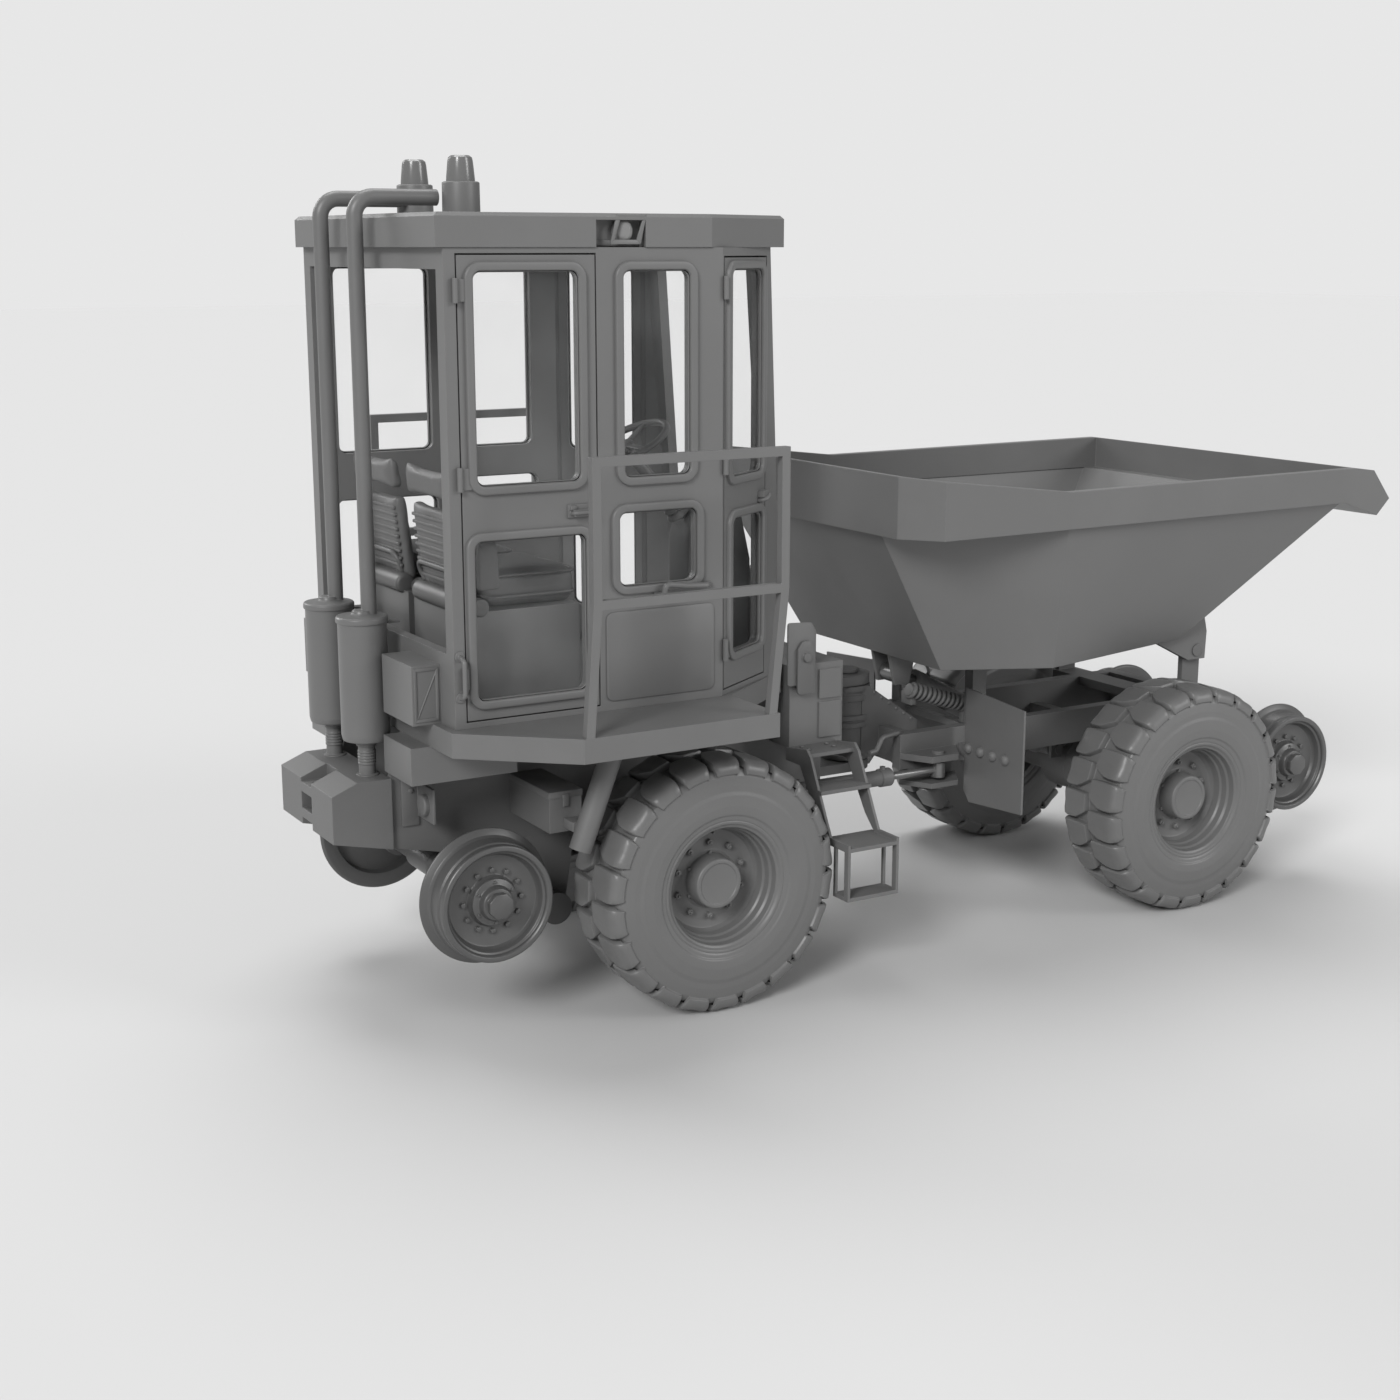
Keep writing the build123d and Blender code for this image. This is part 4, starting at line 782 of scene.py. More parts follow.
# along the tread, as a share of the half length; the two columns nearest the middle are the floor of a thin slit
LUG_COLUMNS = [-1.0, -0.93, -0.6, -0.05, 0.05, 0.6, 0.93, 1.0]
LUG_EDGE_DROP = 0.006
LUG_DRAFT = 0.003
SLIT_HALF, SLIT_DEPTH, SLIT_ROWS = 0.1, 0.004, range(2, 8)
SHOULDER_ROWS, SHOULDER_INSET = range(8, 11), 0.012
CARCASS_SIDES = 96
# half of the carcass: (offset, radius), bead to crown
CARCASS = [
    (0.146, 0.2625), (0.160, 0.2660), (0.172, 0.2860), (0.1745, 0.3020), (0.1800, 0.3080),
    (0.1845, 0.3450), (0.1842, 0.3900), (0.1800, 0.4060), (0.1795, 0.4300), (0.1740, 0.4700),
    (0.1600, 0.4980), (0.1200, 0.5060), (0.0500, 0.5085)]
AXLES = ("rear", "front")


def middle(node):
    low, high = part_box(node)
    return (low + high) / 2


def lug(side):
    """One lug at the top of the tyre, on the side of positive or negative Y."""
    shape = bmesh.new()
    top, skirt = [], []
    for r, (offset, radius, ahead, behind, depth) in enumerate(LUG_ROWS):
        top_row, skirt_row = [], []
        for c, column in enumerate(LUG_COLUMNS):
            reach = column * (ahead if column > 0 else behind)
            drop = LUG_EDGE_DROP if abs(column) == 1 else 0
            if abs(column) < SLIT_HALF and r in SLIT_ROWS:
                drop += SLIT_DEPTH
            turn = reach / CROWN_RADIUS
            high = radius - drop
            top_row.append(shape.verts.new((high * math.sin(turn), side * offset, high * math.cos(turn))))
            wide = (reach + math.copysign(LUG_DRAFT, column)) / CROWN_RADIUS
            low = radius - depth
            inward = offset - (SHOULDER_INSET if r in SHOULDER_ROWS else 0) - (LUG_DRAFT if r == 0 else 0)
            skirt_row.append(shape.verts.new((low * math.sin(wide), side * inward, low * math.cos(wide))))
        top.append(top_row)
        skirt.append(skirt_row)
    last_row, last_column = len(top) - 1, len(LUG_COLUMNS) - 1
    for r in range(last_row):
        for c in range(last_column):
            shape.faces.new((top[r][c], top[r][c + 1], top[r + 1][c + 1], top[r + 1][c]))
        for c in (0, last_column):
            shape.faces.new((top[r][c], top[r + 1][c], skirt[r + 1][c], skirt[r][c]))
    for c in range(last_column):
        for r in (0, last_row):
            shape.faces.new((top[r][c], top[r][c + 1], skirt[r][c + 1], skirt[r][c]))
    bmesh.ops.recalc_face_normals(shape, faces=shape.faces)
    upward = sum(f.normal.z * f.calc_area() for f in shape.faces)
    if upward < 0:
        bmesh.ops.reverse_faces(shape, faces=shape.faces)
    return shape


def tyre_shape():
    half = rounded(CARCASS + [(0, 0.509)], 0.02, 3)
    outline = [(-o, r) for o, r in half[:-1]] + [(o, r) for o, r in reversed(half)]
    lugs = []
    for side in SIDES.values():
        first_turn = 0 if side > 0 else math.pi / LUG_COUNT
        lugs.append((ring(lug(side), LUG_COUNT, 0.0, first_turn), moved()))
    return merged([(turned(outline, CARCASS_SIDES), moved())] + lugs)


for axle in AXLES:
    for name, side in SIDES.items():
        tyre = tyre_shape()
        place = Matrix.Translation(middle(f"tyre_{axle}_{name}")) @ (Matrix() if side > 0 else HALF_TURN)
        bmesh.ops.transform(tyre, matrix=place, verts=tyre.verts)
        piece(f"lugged_tyre_{axle}_{name}", tyre, "tyre_rubber", f"road_wheel_{axle}_{name}",
              [f"tyre_{axle}_{name}"], 32)

# %% [markdown]
# The road wheel is a rolled rim with a stepped well, a dished disc far inside it and a long hub that comes out
# almost to the rim. One closed outline turned about the axle gives all of that. Its ten nuts are one hexagon
# copied round the disc.

# %% Road wheels
WHEEL_NUTS = 10
NUT_RING = 0.158
NUT_OFFSET = 0.026
HUB_BOLTS, HUB_BOLT_RING, HUB_BOLT_OFFSET = 6, 0.116, 0.034
# (offset outwards, radius), from the inner rim round to the hub cap and back
WHEEL_OUTLINE = [
    (-0.165, 0.2500), (-0.169, 0.2700), (-0.165, 0.2820), (-0.157, 0.2820), (-0.155, 0.2600),
    (0.155, 0.2600), (0.157, 0.2780), (0.160, 0.2830), (0.167, 0.2830), (0.170, 0.2770),
    (0.168, 0.2680), (0.160, 0.2600), (0.156, 0.2500), (0.128, 0.2470), (0.120, 0.2380),
    (0.092, 0.2350), (0.084, 0.2270), (0.050, 0.2240), (0.030, 0.2120), (0.026, 0.1800),
    (0.026, 0.1260), (0.034, 0.1140), (0.100, 0.1080), (0.112, 0.1060), (0.116, 0.1010),
    (0.1165, 0.0880), (0.112, 0.0850), (0.112, 0.0)]
WHEEL_BACK = [
    (-0.014, 0.0), (-0.014, 0.0470), (-0.112, 0.0470), (-0.112, 0.1080), (0.004, 0.1200),
    (0.006, 0.1900), (0.020, 0.2350), (-0.060, 0.2460)]


def hexagon(radius, height, dome=0.002):
    corners = [(radius * math.sin(k * math.pi / 3), radius * math.cos(k * math.pi / 3)) for k in range(6)]
    return plate(corners, height, dome)


def along_y(shape, offset):
    """The plate's thickness turned to run outwards along Y from an offset."""
    bmesh.ops.transform(shape, matrix=moved(y=offset) @ Matrix.Rotation(-math.pi / 2, 4, "X"), verts=shape.verts)
    return shape


def wheel_shape():
    rim = turned(rounded(WHEEL_OUTLINE, 0.004, 2) + WHEEL_BACK, 80)
    nuts = ring(along_y(hexagon(0.015, 0.018), NUT_OFFSET), WHEEL_NUTS, NUT_RING)
    studs = ring(along_y(hexagon(0.007, 0.026), NUT_OFFSET), WHEEL_NUTS, NUT_RING)
    hub_bolts = ring(along_y(hexagon(0.008, 0.010), HUB_BOLT_OFFSET), HUB_BOLTS, HUB_BOLT_RING)
    valve = turned([(0.030, 0.0), (0.030, 0.006), (0.072, 0.005), (0.074, 0.0)], 12)
    return gather([(rim, moved()), (nuts, moved()), (studs, moved()), (hub_bolts, moved()),
                   (valve, moved(z=0.206))])


for axle in AXLES:
    for name, side in SIDES.items():
        wheel = wheel_shape()
        hub = middle(f"tyre_{axle}_{name}")
        place = Matrix.Translation(hub) @ (Matrix() if side > 0 else HALF_TURN)
        bmesh.ops.transform(wheel, matrix=place, verts=wheel.verts)
        piece(f"rim_and_hub_{axle}_{name}", wheel, "wheel_paint", f"road_wheel_{axle}_{name}",
              [f"wheel_{axle}_{name}"])

# %% [markdown]
# The rail axle is one turning body: a plain shaft with a steel wheel pressed on each end. Each wheel has a tall
# flange on the inside, a double lip outside, a thin web with a ring of bolts and a stepped hub that ends in an
# eight-sided cap.

# %% Rail wheels
RAIL_BOLTS = 12
RAIL_BOLT_RING = 0.126
RAIL_CAP_RADIUS = 0.055
# from a wheel's inner face to the tip of its cap, and how far the shaft runs into the wheel
RAIL_WHEEL_WIDTH, RAIL_SHAFT_SUNK = 0.180, 0.05
RAIL_SHAFT_RADIUS = 0.0449
# (offset from the wheel's inner face, radius)
RAIL_OUTLINE = [
    (0.000, 0.0450), (0.000, 0.0820), (0.030, 0.0900), (0.052, 0.2080), (0.000, 0.2120),
    (0.000, 0.2680), (0.006, 0.2790), (0.014, 0.2790), (0.026, 0.2520), (0.040, 0.2440),
    (0.100, 0.2420), (0.104, 0.2340), (0.112, 0.2340), (0.118, 0.2400), (0.142, 0.2390),
    (0.146, 0.2340), (0.146, 0.2180), (0.138, 0.2120), (0.128, 0.2120), (0.124, 0.2020),
    (0.100, 0.1960), (0.086, 0.1880), (0.078, 0.1060), (0.092, 0.0980), (0.112, 0.0960),
    (0.116, 0.0720), (0.134, 0.0680), (0.146, 0.0640), (0.148, 0.0460), (0.150, 0.0)]


def rail_wheel():
    wheel = turned(rounded(RAIL_OUTLINE, 0.004, 2) + [(0.060, 0.0), (0.060, 0.0450)], 88)
    bolts = ring(along_y(hexagon(0.0125, 0.013), 0.080), RAIL_BOLTS, RAIL_BOLT_RING)
    turns = [(k + 0.5) * math.pi / 4 for k in range(8)]
    corners = [(RAIL_CAP_RADIUS * math.sin(turn), RAIL_CAP_RADIUS * math.cos(turn)) for turn in turns]
    cap = along_y(plate(corners, 0.032, 0.004), 0.146)
    hub_bolts = ring(along_y(hexagon(0.007, 0.008), 0.114), 6, 0.084)
    return gather([(wheel, moved()), (bolts, moved()), (cap, moved()), (hub_bolts, moved())])


for axle in AXLES:
    centre = middle(f"{axle}_rail_axle")
    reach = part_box(f"{axle}_rail_axle")[1].y - RAIL_WHEEL_WIDTH
    end = reach + RAIL_SHAFT_SUNK
    shaft = turned(rounded([(-end, 0), (-end, RAIL_SHAFT_RADIUS), (end, RAIL_SHAFT_RADIUS), (end, 0)],
                           0.002), 48)
    inner = turned(rounded([(-0.12, 0.0448), (-0.11, 0.062), (0.11, 0.062), (0.12, 0.0448)], 0.006), 48)
    wheels = [(rail_wheel(), Matrix.Translation(centre) @ moved(y=reach)),
              (rail_wheel(), Matrix.Translation(centre) @ HALF_TURN @ moved(y=reach)),
              (shaft, Matrix.Translation(centre)), (inner, Matrix.Translation(centre))]
    piece(f"flanged_wheels_{axle}", gather(wheels), "rail_steel", f"{axle}_rail_wheelset", [f"{axle}_rail_axle"])

# %% [markdown]
# Each exhaust has a ribbed lower pipe, a drum with rolled rims, and a stack that climbs behind the cab and
# turns forward over the roof. The drum is turned, and the stack is a tube tree along three points.

# %% Exhausts
SILENCER_X, SILENCER_Y = -2.387, 0.186
STACK_X, STACK_END_X = -2.356, -2.020
STACK_Z = 3.280
STACK_BEND = 0.075
STACK_RADIUS = 0.031
# (height, radius) of the drum
DRUM = [
    (1.167, 0.0), (1.167, 0.060), (1.178, 0.092), (1.200, 0.097), (1.650, 0.097), (1.654, 0.1035),
    (1.672, 0.1035), (1.678, 0.098), (1.682, 0.060), (1.686, 0.040), (1.700, 0.036), (1.700, 0.0)]
PIPE = [(1.020, 0.0), (1.020, 0.046), (1.034, 0.046), (1.038, 0.034)]
PIPE_RIBS = 5


def exhaust():
    ribs = []
    for k in range(PIPE_RIBS):
        low = 1.075 + k * 0.012
        ribs += [(low, 0.0335), (low + 0.002, 0.0365), (low + 0.008, 0.0365), (low + 0.010, 0.0335)]
    pipe = turned(PIPE + ribs + [(1.150, 0.034), (1.152, 0.040), (1.166, 0.040), (1.170, 0.034), (1.175, 0.0)], 40)
    drum = turned(rounded(DRUM, 0.006, 3), 72)
    stack = tube([(STACK_X, SILENCER_Y, 1.67), (STACK_X, SILENCER_Y, STACK_Z), (STACK_END_X, SILENCER_Y, STACK_Z)],
                 STACK_RADIUS, STACK_BEND, 32)
    bracket = slab((SILENCER_X + 0.06, SILENCER_Y - 0.025, 1.640), (-2.236, SILENCER_Y + 0.025, 1.648), 0.002)
    centre = moved(SILENCER_X, SILENCER_Y)
    return [(pipe, centre @ UPRIGHT), (drum, centre @ UPRIGHT), (stack, moved()), (bracket, moved())]


piece("silencers_and_stacks", gather(both_sides(exhaust())), "exhaust_steel", "rear_frame", ["exhausts"])

# %% [markdown]
# Beacons are a turned collar on the roof and a tapered dome with flat facets, as moulded lenses have.

# %% Beacons
BEACON_X, BEACON_Y = -1.935, 0.230
COLLAR = [
    (3.216, 0.0), (3.216, 0.0735), (3.222, 0.0735), (3.336, 0.0725), (3.340, 0.066), (3.340, 0.0)]
DOME = [
    (3.337, 0.0), (3.337, 0.0558), (3.352, 0.0552), (3.415, 0.0490), (3.430, 0.0455),
    (3.4375, 0.0350), (3.4375, 0.0)]
for name, side in SIDES.items():
    spot = moved(BEACON_X, side * BEACON_Y)
    piece(f"beacon_collar_{name}", gather([(turned(rounded(COLLAR, 0.003, 2), 48), spot @ UPRIGHT)]),
          "body_paint", "rear_frame")
domes = [(turned(DOME, 16), moved(BEACON_X, side * BEACON_Y) @ UPRIGHT) for side in SIDES.values()]
piece("beacon_lenses", gather(domes), "beacon_plastic", "rear_frame", ["beacon_domes"], 24)

# %% [markdown]
# Every window of the cab sits in a raised frame with round corners and a thin lip inside it. The bead tree makes
# both from the opening's size. Their flat shape is then turned into the wall: the side walls run along the
# machine, and the quarter panels turn in towards the front.

# %% Window frames
SIDE_Y = 0.738
KNEE_X = -1.060
QUARTER_FRONT = (-0.693, 0.502)
QUARTER_TURN = math.atan2(QUARTER_FRONT[1] - SIDE_Y, QUARTER_FRONT[0] - KNEE_X)
BEAD_WIDTH, BEAD_PROUD = 0.034, 0.016
BEAD_CORNER, BEAD_OVERLAP = 0.047, 0.006
LIP_WIDTH, LIP_HEIGHT, LIP_CORNER, LIP_SETBACK = 0.010, 0.018, 0.034, 0.006
# wall, moving body without its side, run along the wall and height of each opening
WINDOWS = {
    "side_door": ("side", "side_door",
                  [((-2.128, -1.692), (2.222, 3.012)), ((-2.146, -1.672), (1.406, 2.022))]),
    "mid_panel": ("side", None,
                  [((-1.508, -1.208), (2.222, 3.012)), ((-1.532, -1.180), (1.796, 2.092))]),
    "quarter_door": ("quarter", "quarter_door",
                     [((0.060, 0.354), (2.192, 3.012)), ((0.072, 0.360), (1.470, 2.030))]),
}


def wall(kind):
    """Placement with X along the left wall, Y into the open and Z up."""
    if kind == "side":
        return moved(y=SIDE_Y)
    return moved(KNEE_X, SIDE_Y) @ Matrix.Rotation(QUARTER_TURN, 4, "Z")


def window_frame(run, rise):
    width, height = run[1] - run[0], rise[1] - rise[0]
    centre = moved((run[0] + run[1]) / 2, 0, (rise[0] + rise[1]) / 2) @ UPRIGHT
    grow = BEAD_WIDTH - BEAD_OVERLAP
    bead = grown(BEAD, {"Width": width + grow, "Height": height + grow, "Corner": BEAD_CORNER,
                        "Bead width": BEAD_WIDTH, "Bead height": 2 * BEAD_PROUD})
    shrink = LIP_WIDTH * 0.6
    lip = grown(BEAD, {"Width": width - shrink, "Height": height - shrink, "Corner": LIP_CORNER,
                       "Bead width": LIP_WIDTH, "Bead height": LIP_HEIGHT})
    return [(bead, centre), (lip, moved(y=-LIP_SETBACK) @ centre)]


for label, (kind, body, openings) in WINDOWS.items():
    for name, mirror in MIRRORS.items():
        parts = [(shape, mirror @ wall(kind) @ place) for run, rise in openings
                 for shape, place in window_frame(run, rise)]
        piece(f"window_frames_{label}_{name}", gather(parts), "body_paint",
              f"{body}_{name}" if body else "rear_frame", angle=40)

# %% [markdown]
# A rubber seal closes the gap around each door. It is a flat strip on the cab's inner side that overlaps the door
# and the frame, so no light shows through the gap.

# %% Door seals
SEAL_STRIP = 0.022
WALL_THICK = 0.045
# wall, run along the wall and height of each door's opening
DOORS = {"side_door": ("side", (-2.190, -1.616), (1.330, 3.072)),
         "quarter_door": ("quarter", (0.010, 0.402), (1.330, 3.060))}
for label, (kind, run, rise) in DOORS.items():
    grow = SEAL_STRIP / 2
    outline = [(run[0] - grow, rise[0] - grow), (run[1] + grow, rise[0] - grow), (run[1] + grow, rise[1] + grow),
               (run[0] - grow, rise[1] + grow)]
    for name, mirror in MIRRORS.items():
        place = mirror @ wall(kind) @ moved(y=-WALL_THICK - 0.001) @ UPRIGHT
        seal = [(bar, place) for bar in strip(outline, SEAL_STRIP, 0.004, 0.001)]
        piece(f"{label}_seal_{name}", gather(seal), "black_plastic", "rear_frame")

# %% [markdown]
# The seats are the only soft pieces. A cushion starts a little small, is remeshed into even cells and then
# blown up by Blender's cloth until its sides belly out between the corners, which is what foam under vinyl does.
# Slats cross the rear of each back, rolls run along the lower edge, and an armrest stands at each side.

# %% Seats
SEAT_MIDDLES = {"left": 0.290, "right": -0.290}
SEAT_HALF_WIDTH = 0.245
VOXEL = 0.016
CLOTH_STEPS = 16
SWELL_LIMIT = 0.012
SLATS = 9
SLAT_PITCH = 0.030
CAB_REAR = -2.236


def swollen(shape, name):
    """The closed shape as a padded one: even cells, then air pressure, then smoothing."""
    mesh = bpy.data.meshes.new(name)
    shape.to_mesh(mesh)
    shape.free()
    pad = bpy.data.objects.new(name, mesh)
    SCENE.collection.objects.link(pad)
    remesh = pad.modifiers.new("cells", "REMESH")
    remesh.mode = "VOXEL"
    remesh.voxel_size = VOXEL
    even = bpy.data.meshes.new_from_object(pad.evaluated_get(bpy.context.evaluated_depsgraph_get()))
    pad.modifiers.clear()
    pad.data = even
    rest = [v.co.copy() for v in even.vertices]
    cloth = pad.modifiers.new("air", "CLOTH")
    cloth.settings.use_pressure = True
    cloth.settings.uniform_pressure_force = 4
    cloth.settings.effector_weights.gravity = 0
    for frame_number in range(1, CLOTH_STEPS + 1):
        SCENE.frame_set(frame_number)
    blown = bpy.data.meshes.new_from_object(pad.evaluated_get(bpy.context.evaluated_depsgraph_get()))
    pad.modifiers.clear()
    for vertex, start in zip(blown.vertices, rest):
        shift = vertex.co - start
        if shift.length > SWELL_LIMIT:
            vertex.co = start + shift.normalized() * SWELL_LIMIT
    pad.data = blown
    SCENE.frame_set(1)
    smooth = pad.modifiers.new("smooth", "SUBSURF")
    smooth.levels = smooth.render_levels = 1
    final = bpy.data.meshes.new_from_object(pad.evaluated_get(bpy.context.evaluated_depsgraph_get()))
    bpy.data.objects.remove(pad)
    out = bmesh.new()
    out.from_mesh(final)
    bpy.data.meshes.remove(final)
    return out


def piping(points, radius=0.006):
    """Sewn cord around a pad's edge."""
    start = (points[0][0], (points[0][1] + points[3][1]) / 2, points[0][2])
    return tube([start] + points + [start], radius, 0.045, 8)


def cushion_shape():
    low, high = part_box("seat_cushions")
    inset = SWELL_LIMIT
    body = slab((low.x + inset, -SEAT_HALF_WIDTH + inset, low.z + 0.006),
                (high.x - inset, SEAT_HALF_WIDTH - inset, high.z - inset), 0.030, 3)
    pad = swollen(body, "cushion")
    for vertex in pad.verts:
        vertex.co.z = min(max(vertex.co.z, low.z), high.z)
    return pad


def cushion_piping():
    low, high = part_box("seat_cushions")
    lines = []
    for z in (high.z - 0.022, low.z + 0.040):
        x0, x1, y = low.x + 0.018, high.x - 0.014, SEAT_HALF_WIDTH - 0.012
        lines.append((piping([(x0, -y, z), (x1, -y, z), (x1, y, z), (x0, y, z)]), moved()))
    return lines


cushion = cushion_shape()
for name, y in SEAT_MIDDLES.items():
    pad = piece(f"seat_cushion_{name}", gather([(cushion.copy(), moved(y=y))]), "seat_cover", "rear_frame",
                ["seat_cushions"], 60)
    piece(f"cushion_piping_{name}", gather([(shape, moved(y=y) @ place) for shape, place in cushion_piping()]),
          "seat_cover", "rear_frame")
cushion.free()

# side view of the two pads of a back: (X from the cab's rear wall, Z)
HEAD_PAD = [(0.150, 2.128), (0.128, 2.254), (0.092, 2.262), (0.100, 2.136)]
BACK_PAD = [(0.204, 1.750), (0.158, 2.112), (0.116, 2.104), (0.160, 1.750)]
BACK_HALF = 0.222
# the line that the slats follow, measured in the same way
SLAT_FOOT, SLAT_HEAD = (0.150, 1.740), (0.112, 2.110)
FIRST_SLAT = (0.140, 1.815)


def back_shape():
    """Two pads, one above the other."""
    pads = []
    for outline in (HEAD_PAD, BACK_PAD):
        pad = plate(outline, 2 * BACK_HALF, 0.016, 3)
        bmesh.ops.transform(pad, matrix=moved(CAB_REAR, BACK_HALF) @ UPRIGHT, verts=pad.verts)
        pads.append((swollen(pad, "back"), moved()))
    return merged(pads)


def back_slats():
    bar = slab((-0.007, -0.195, -0.007), (0.007, 0.195, 0.007), 0.005, 2)
    lowest = Vector((CAB_REAR + FIRST_SLAT[0], 0, FIRST_SLAT[1]))
    lean = (SLAT_HEAD[0] - SLAT_FOOT[0]) / (SLAT_HEAD[1] - SLAT_FOOT[1])
    return row(bar, SLATS, lowest, (lean * SLAT_PITCH, 0, SLAT_PITCH))


# side view of an armrest, and where the roll, the tube hoop and the back's hinge brackets sit: (X, Z)
ARMREST = [(-2.053, 1.999), (-1.974, 1.989), (-1.964, 1.804), (-2.055, 1.801)]
ARMREST_THICK = 0.032
ROLL, ROLL_RADIUS = (-2.090, 1.742), 0.042
SIDE_ROLL, SIDE_ROLL_RADIUS = (-2.038, 1.731), 0.036
HOOP_FOOT, HOOP_TOP = (-2.085, 1.790), (-2.118, 1.868)
BRACKET = [(-2.090, 1.770), (-2.060, 1.770), (-2.078, 1.960), (-2.108, 1.965)]


def seat_frame():
    """Rolls along the seat's lower edge, a bent tube under the slats and the two brackets that carry the back."""
    hoop = tube([(HOOP_FOOT[0], -0.170, HOOP_FOOT[1]), (HOOP_TOP[0], -0.190, HOOP_TOP[1]),
                 (HOOP_TOP[0], 0.190, HOOP_TOP[1]), (HOOP_FOOT[0], 0.170, HOOP_FOOT[1])], 0.011, 0.05, 12)
    roll = turned(rounded([(-0.215, 0), (-0.215, ROLL_RADIUS), (0.215, ROLL_RADIUS), (0.215, 0)], 0.03, 5), 32)
    parts = [(hoop, moved()), (roll, moved(ROLL[0], 0, ROLL[1]))]
    for y in (-0.268, 0.220):
        side_roll = turned(rounded([(y, 0), (y, SIDE_ROLL_RADIUS), (y + 0.048, SIDE_ROLL_RADIUS), (y + 0.048, 0)],
                                   0.010, 4), 36)
        parts.append((side_roll, moved(SIDE_ROLL[0], 0, SIDE_ROLL[1])))
    for y in (-0.110, 0.122):
        parts.append((plate(BRACKET, 0.012, 0.003), moved(y=y) @ UPRIGHT))
        parts.append((turned(rounded([(-0.030, 0), (-0.030, 0.024), (0.018, 0.024), (0.018, 0)], 0.008, 3), 28),
                      moved(BRACKET[1][0], y, BRACKET[0][1] + 0.012)))
    return parts


def armrests():
    """A padded slab on each side of a seat, turned up out of the way beside the back."""
    outline = rounded(ARMREST, 0.016, 4, True)
    return [(plate(outline, ARMREST_THICK, 0.008, 3), moved(y=y) @ UPRIGHT)
            for y in (SEAT_HALF_WIDTH + 0.012 + ARMREST_THICK, -SEAT_HALF_WIDTH - 0.012)]


back = back_shape()
for name, y in SEAT_MIDDLES.items():
    pad = piece(f"seat_back_{name}", gather([(back.copy(), moved(y=y))]), "seat_shell", "rear_frame",
                ["seat_backs"], 60)
    piece(f"seat_back_slats_{name}", gather([(back_slats(), moved(y=y))]), "seat_shell", "rear_frame")
    piece(f"seat_frame_{name}", gather([(shape, moved(y=y) @ place) for shape, place in seat_frame()]),
          "black_plastic", "rear_frame")
    piece(f"armrests_{name}", gather([(shape, moved(y=y) @ place) for shape, place in armrests()]),
          "seat_shell", "rear_frame")
back.free()

# %% [markdown]
# The dash is a tall console under the steering wheel and a low shelf beside it, so one can see past it through
# the cab's lower windows.

# %% Dash
# side views of the console and of the shelf: (X, Z)
CONSOLE = [
    (-1.008, 1.262), (-1.008, 1.898), (-0.960, 2.058), (-0.762, 2.058), (-0.702, 1.798),
    (-0.702, 1.262)]
SHELF = [(-0.960, 1.262), (-0.960, 1.480), (-0.900, 1.520), (-0.702, 1.520), (-0.702, 1.262)]
COLUMN_FOOT, COLUMN_TOP = (-0.990, -0.290, 1.990), (-1.250, -0.290, 2.280)
console = plate(CONSOLE, 0.178, 0.014, 3)
shelf = plate(SHELF, 0.578, 0.014, 3)
column = turned(rounded([(0.0, 0), (0.0, 0.026), (0.388, 0.026), (0.388, 0)], 0.003), 32)
dash_parts = [(console, moved(y=-0.201) @ UPRIGHT), (shelf, moved(y=0.379) @ UPRIGHT),
              (column, between(COLUMN_FOOT, COLUMN_TOP))]
piece("console_and_shelf", gather(dash_parts), "black_plastic", "rear_frame", ["dash"])

# %% [markdown]
# The steering wheel stands in front of the right-hand seat. Its rim is a turned ring, and three flattened
# spokes carry it on a short boss. The column under it gets a folded rubber boot.

# %% Steering wheel
WHEEL_CENTRE = (-1.262, -0.290, 2.300)
WHEEL_NORMAL = (-0.45, 0, 0.89)
WHEEL_RADIUS, WHEEL_GRIP = 0.190, 0.0145


def steering_wheel():
    section = [(WHEEL_GRIP * math.sin(k * math.pi / 8), WHEEL_RADIUS + WHEEL_GRIP * math.cos(k * math.pi / 8))
               for k in range(16)]
    spoke = slab((-0.013, 0.020, -0.005), (0.013, WHEEL_RADIUS, 0.005), 0.004, 2)
    bmesh.ops.transform(spoke, matrix=UPRIGHT, verts=spoke.verts)
    spokes = ring(spoke, 3, 0.0, math.pi / 6)
    boss = turned(rounded([(-0.030, 0), (-0.030, 0.030), (-0.012, 0.040), (0.012, 0.036), (0.014, 0.0)],
                          0.005), 40)
    place = between(WHEEL_CENTRE, Vector(WHEEL_CENTRE) + Vector(WHEEL_NORMAL))
    return [(turned(section, 72), place), (spokes, place), (boss, place)]


piece("steering_wheel_rim", gather(steering_wheel()), "black_plastic", "rear_frame", ["steering_wheel"])
FOLDS = [(0.03 + 0.014 * k, 0.055 - 0.002 * k - (0.008 if k % 2 else 0)) for k in range(9)]
BOOT = [(0.02, 0.0), (0.02, 0.060)] + FOLDS + [(0.160, 0.028), (0.160, 0.0)]
boot = turned(rounded(BOOT, 0.003, 2), 40)
piece("column_boot", gather([(boot, between(COLUMN_FOOT, COLUMN_TOP))]), "black_plastic", "rear_frame")

# %% [markdown]
# Cylinders, pivot and props are all round bars with collars. The steering cylinders' barrels have a gland nut and
# two hose bosses. The pivot shows as a stack of bearing rings between the frames.

# %% Cylinders, pivot and props
STEER_ANCHOR = (-0.560, 0.400, 0.745)
STEER_EYE = (0.300, 0.410, 0.745)
PIVOT_X = 0.060


def steering_line(side):
    """Both ends of a steering cylinder."""
    return [Vector((x, side * y, z)) for x, y, z in (STEER_ANCHOR, STEER_EYE)]


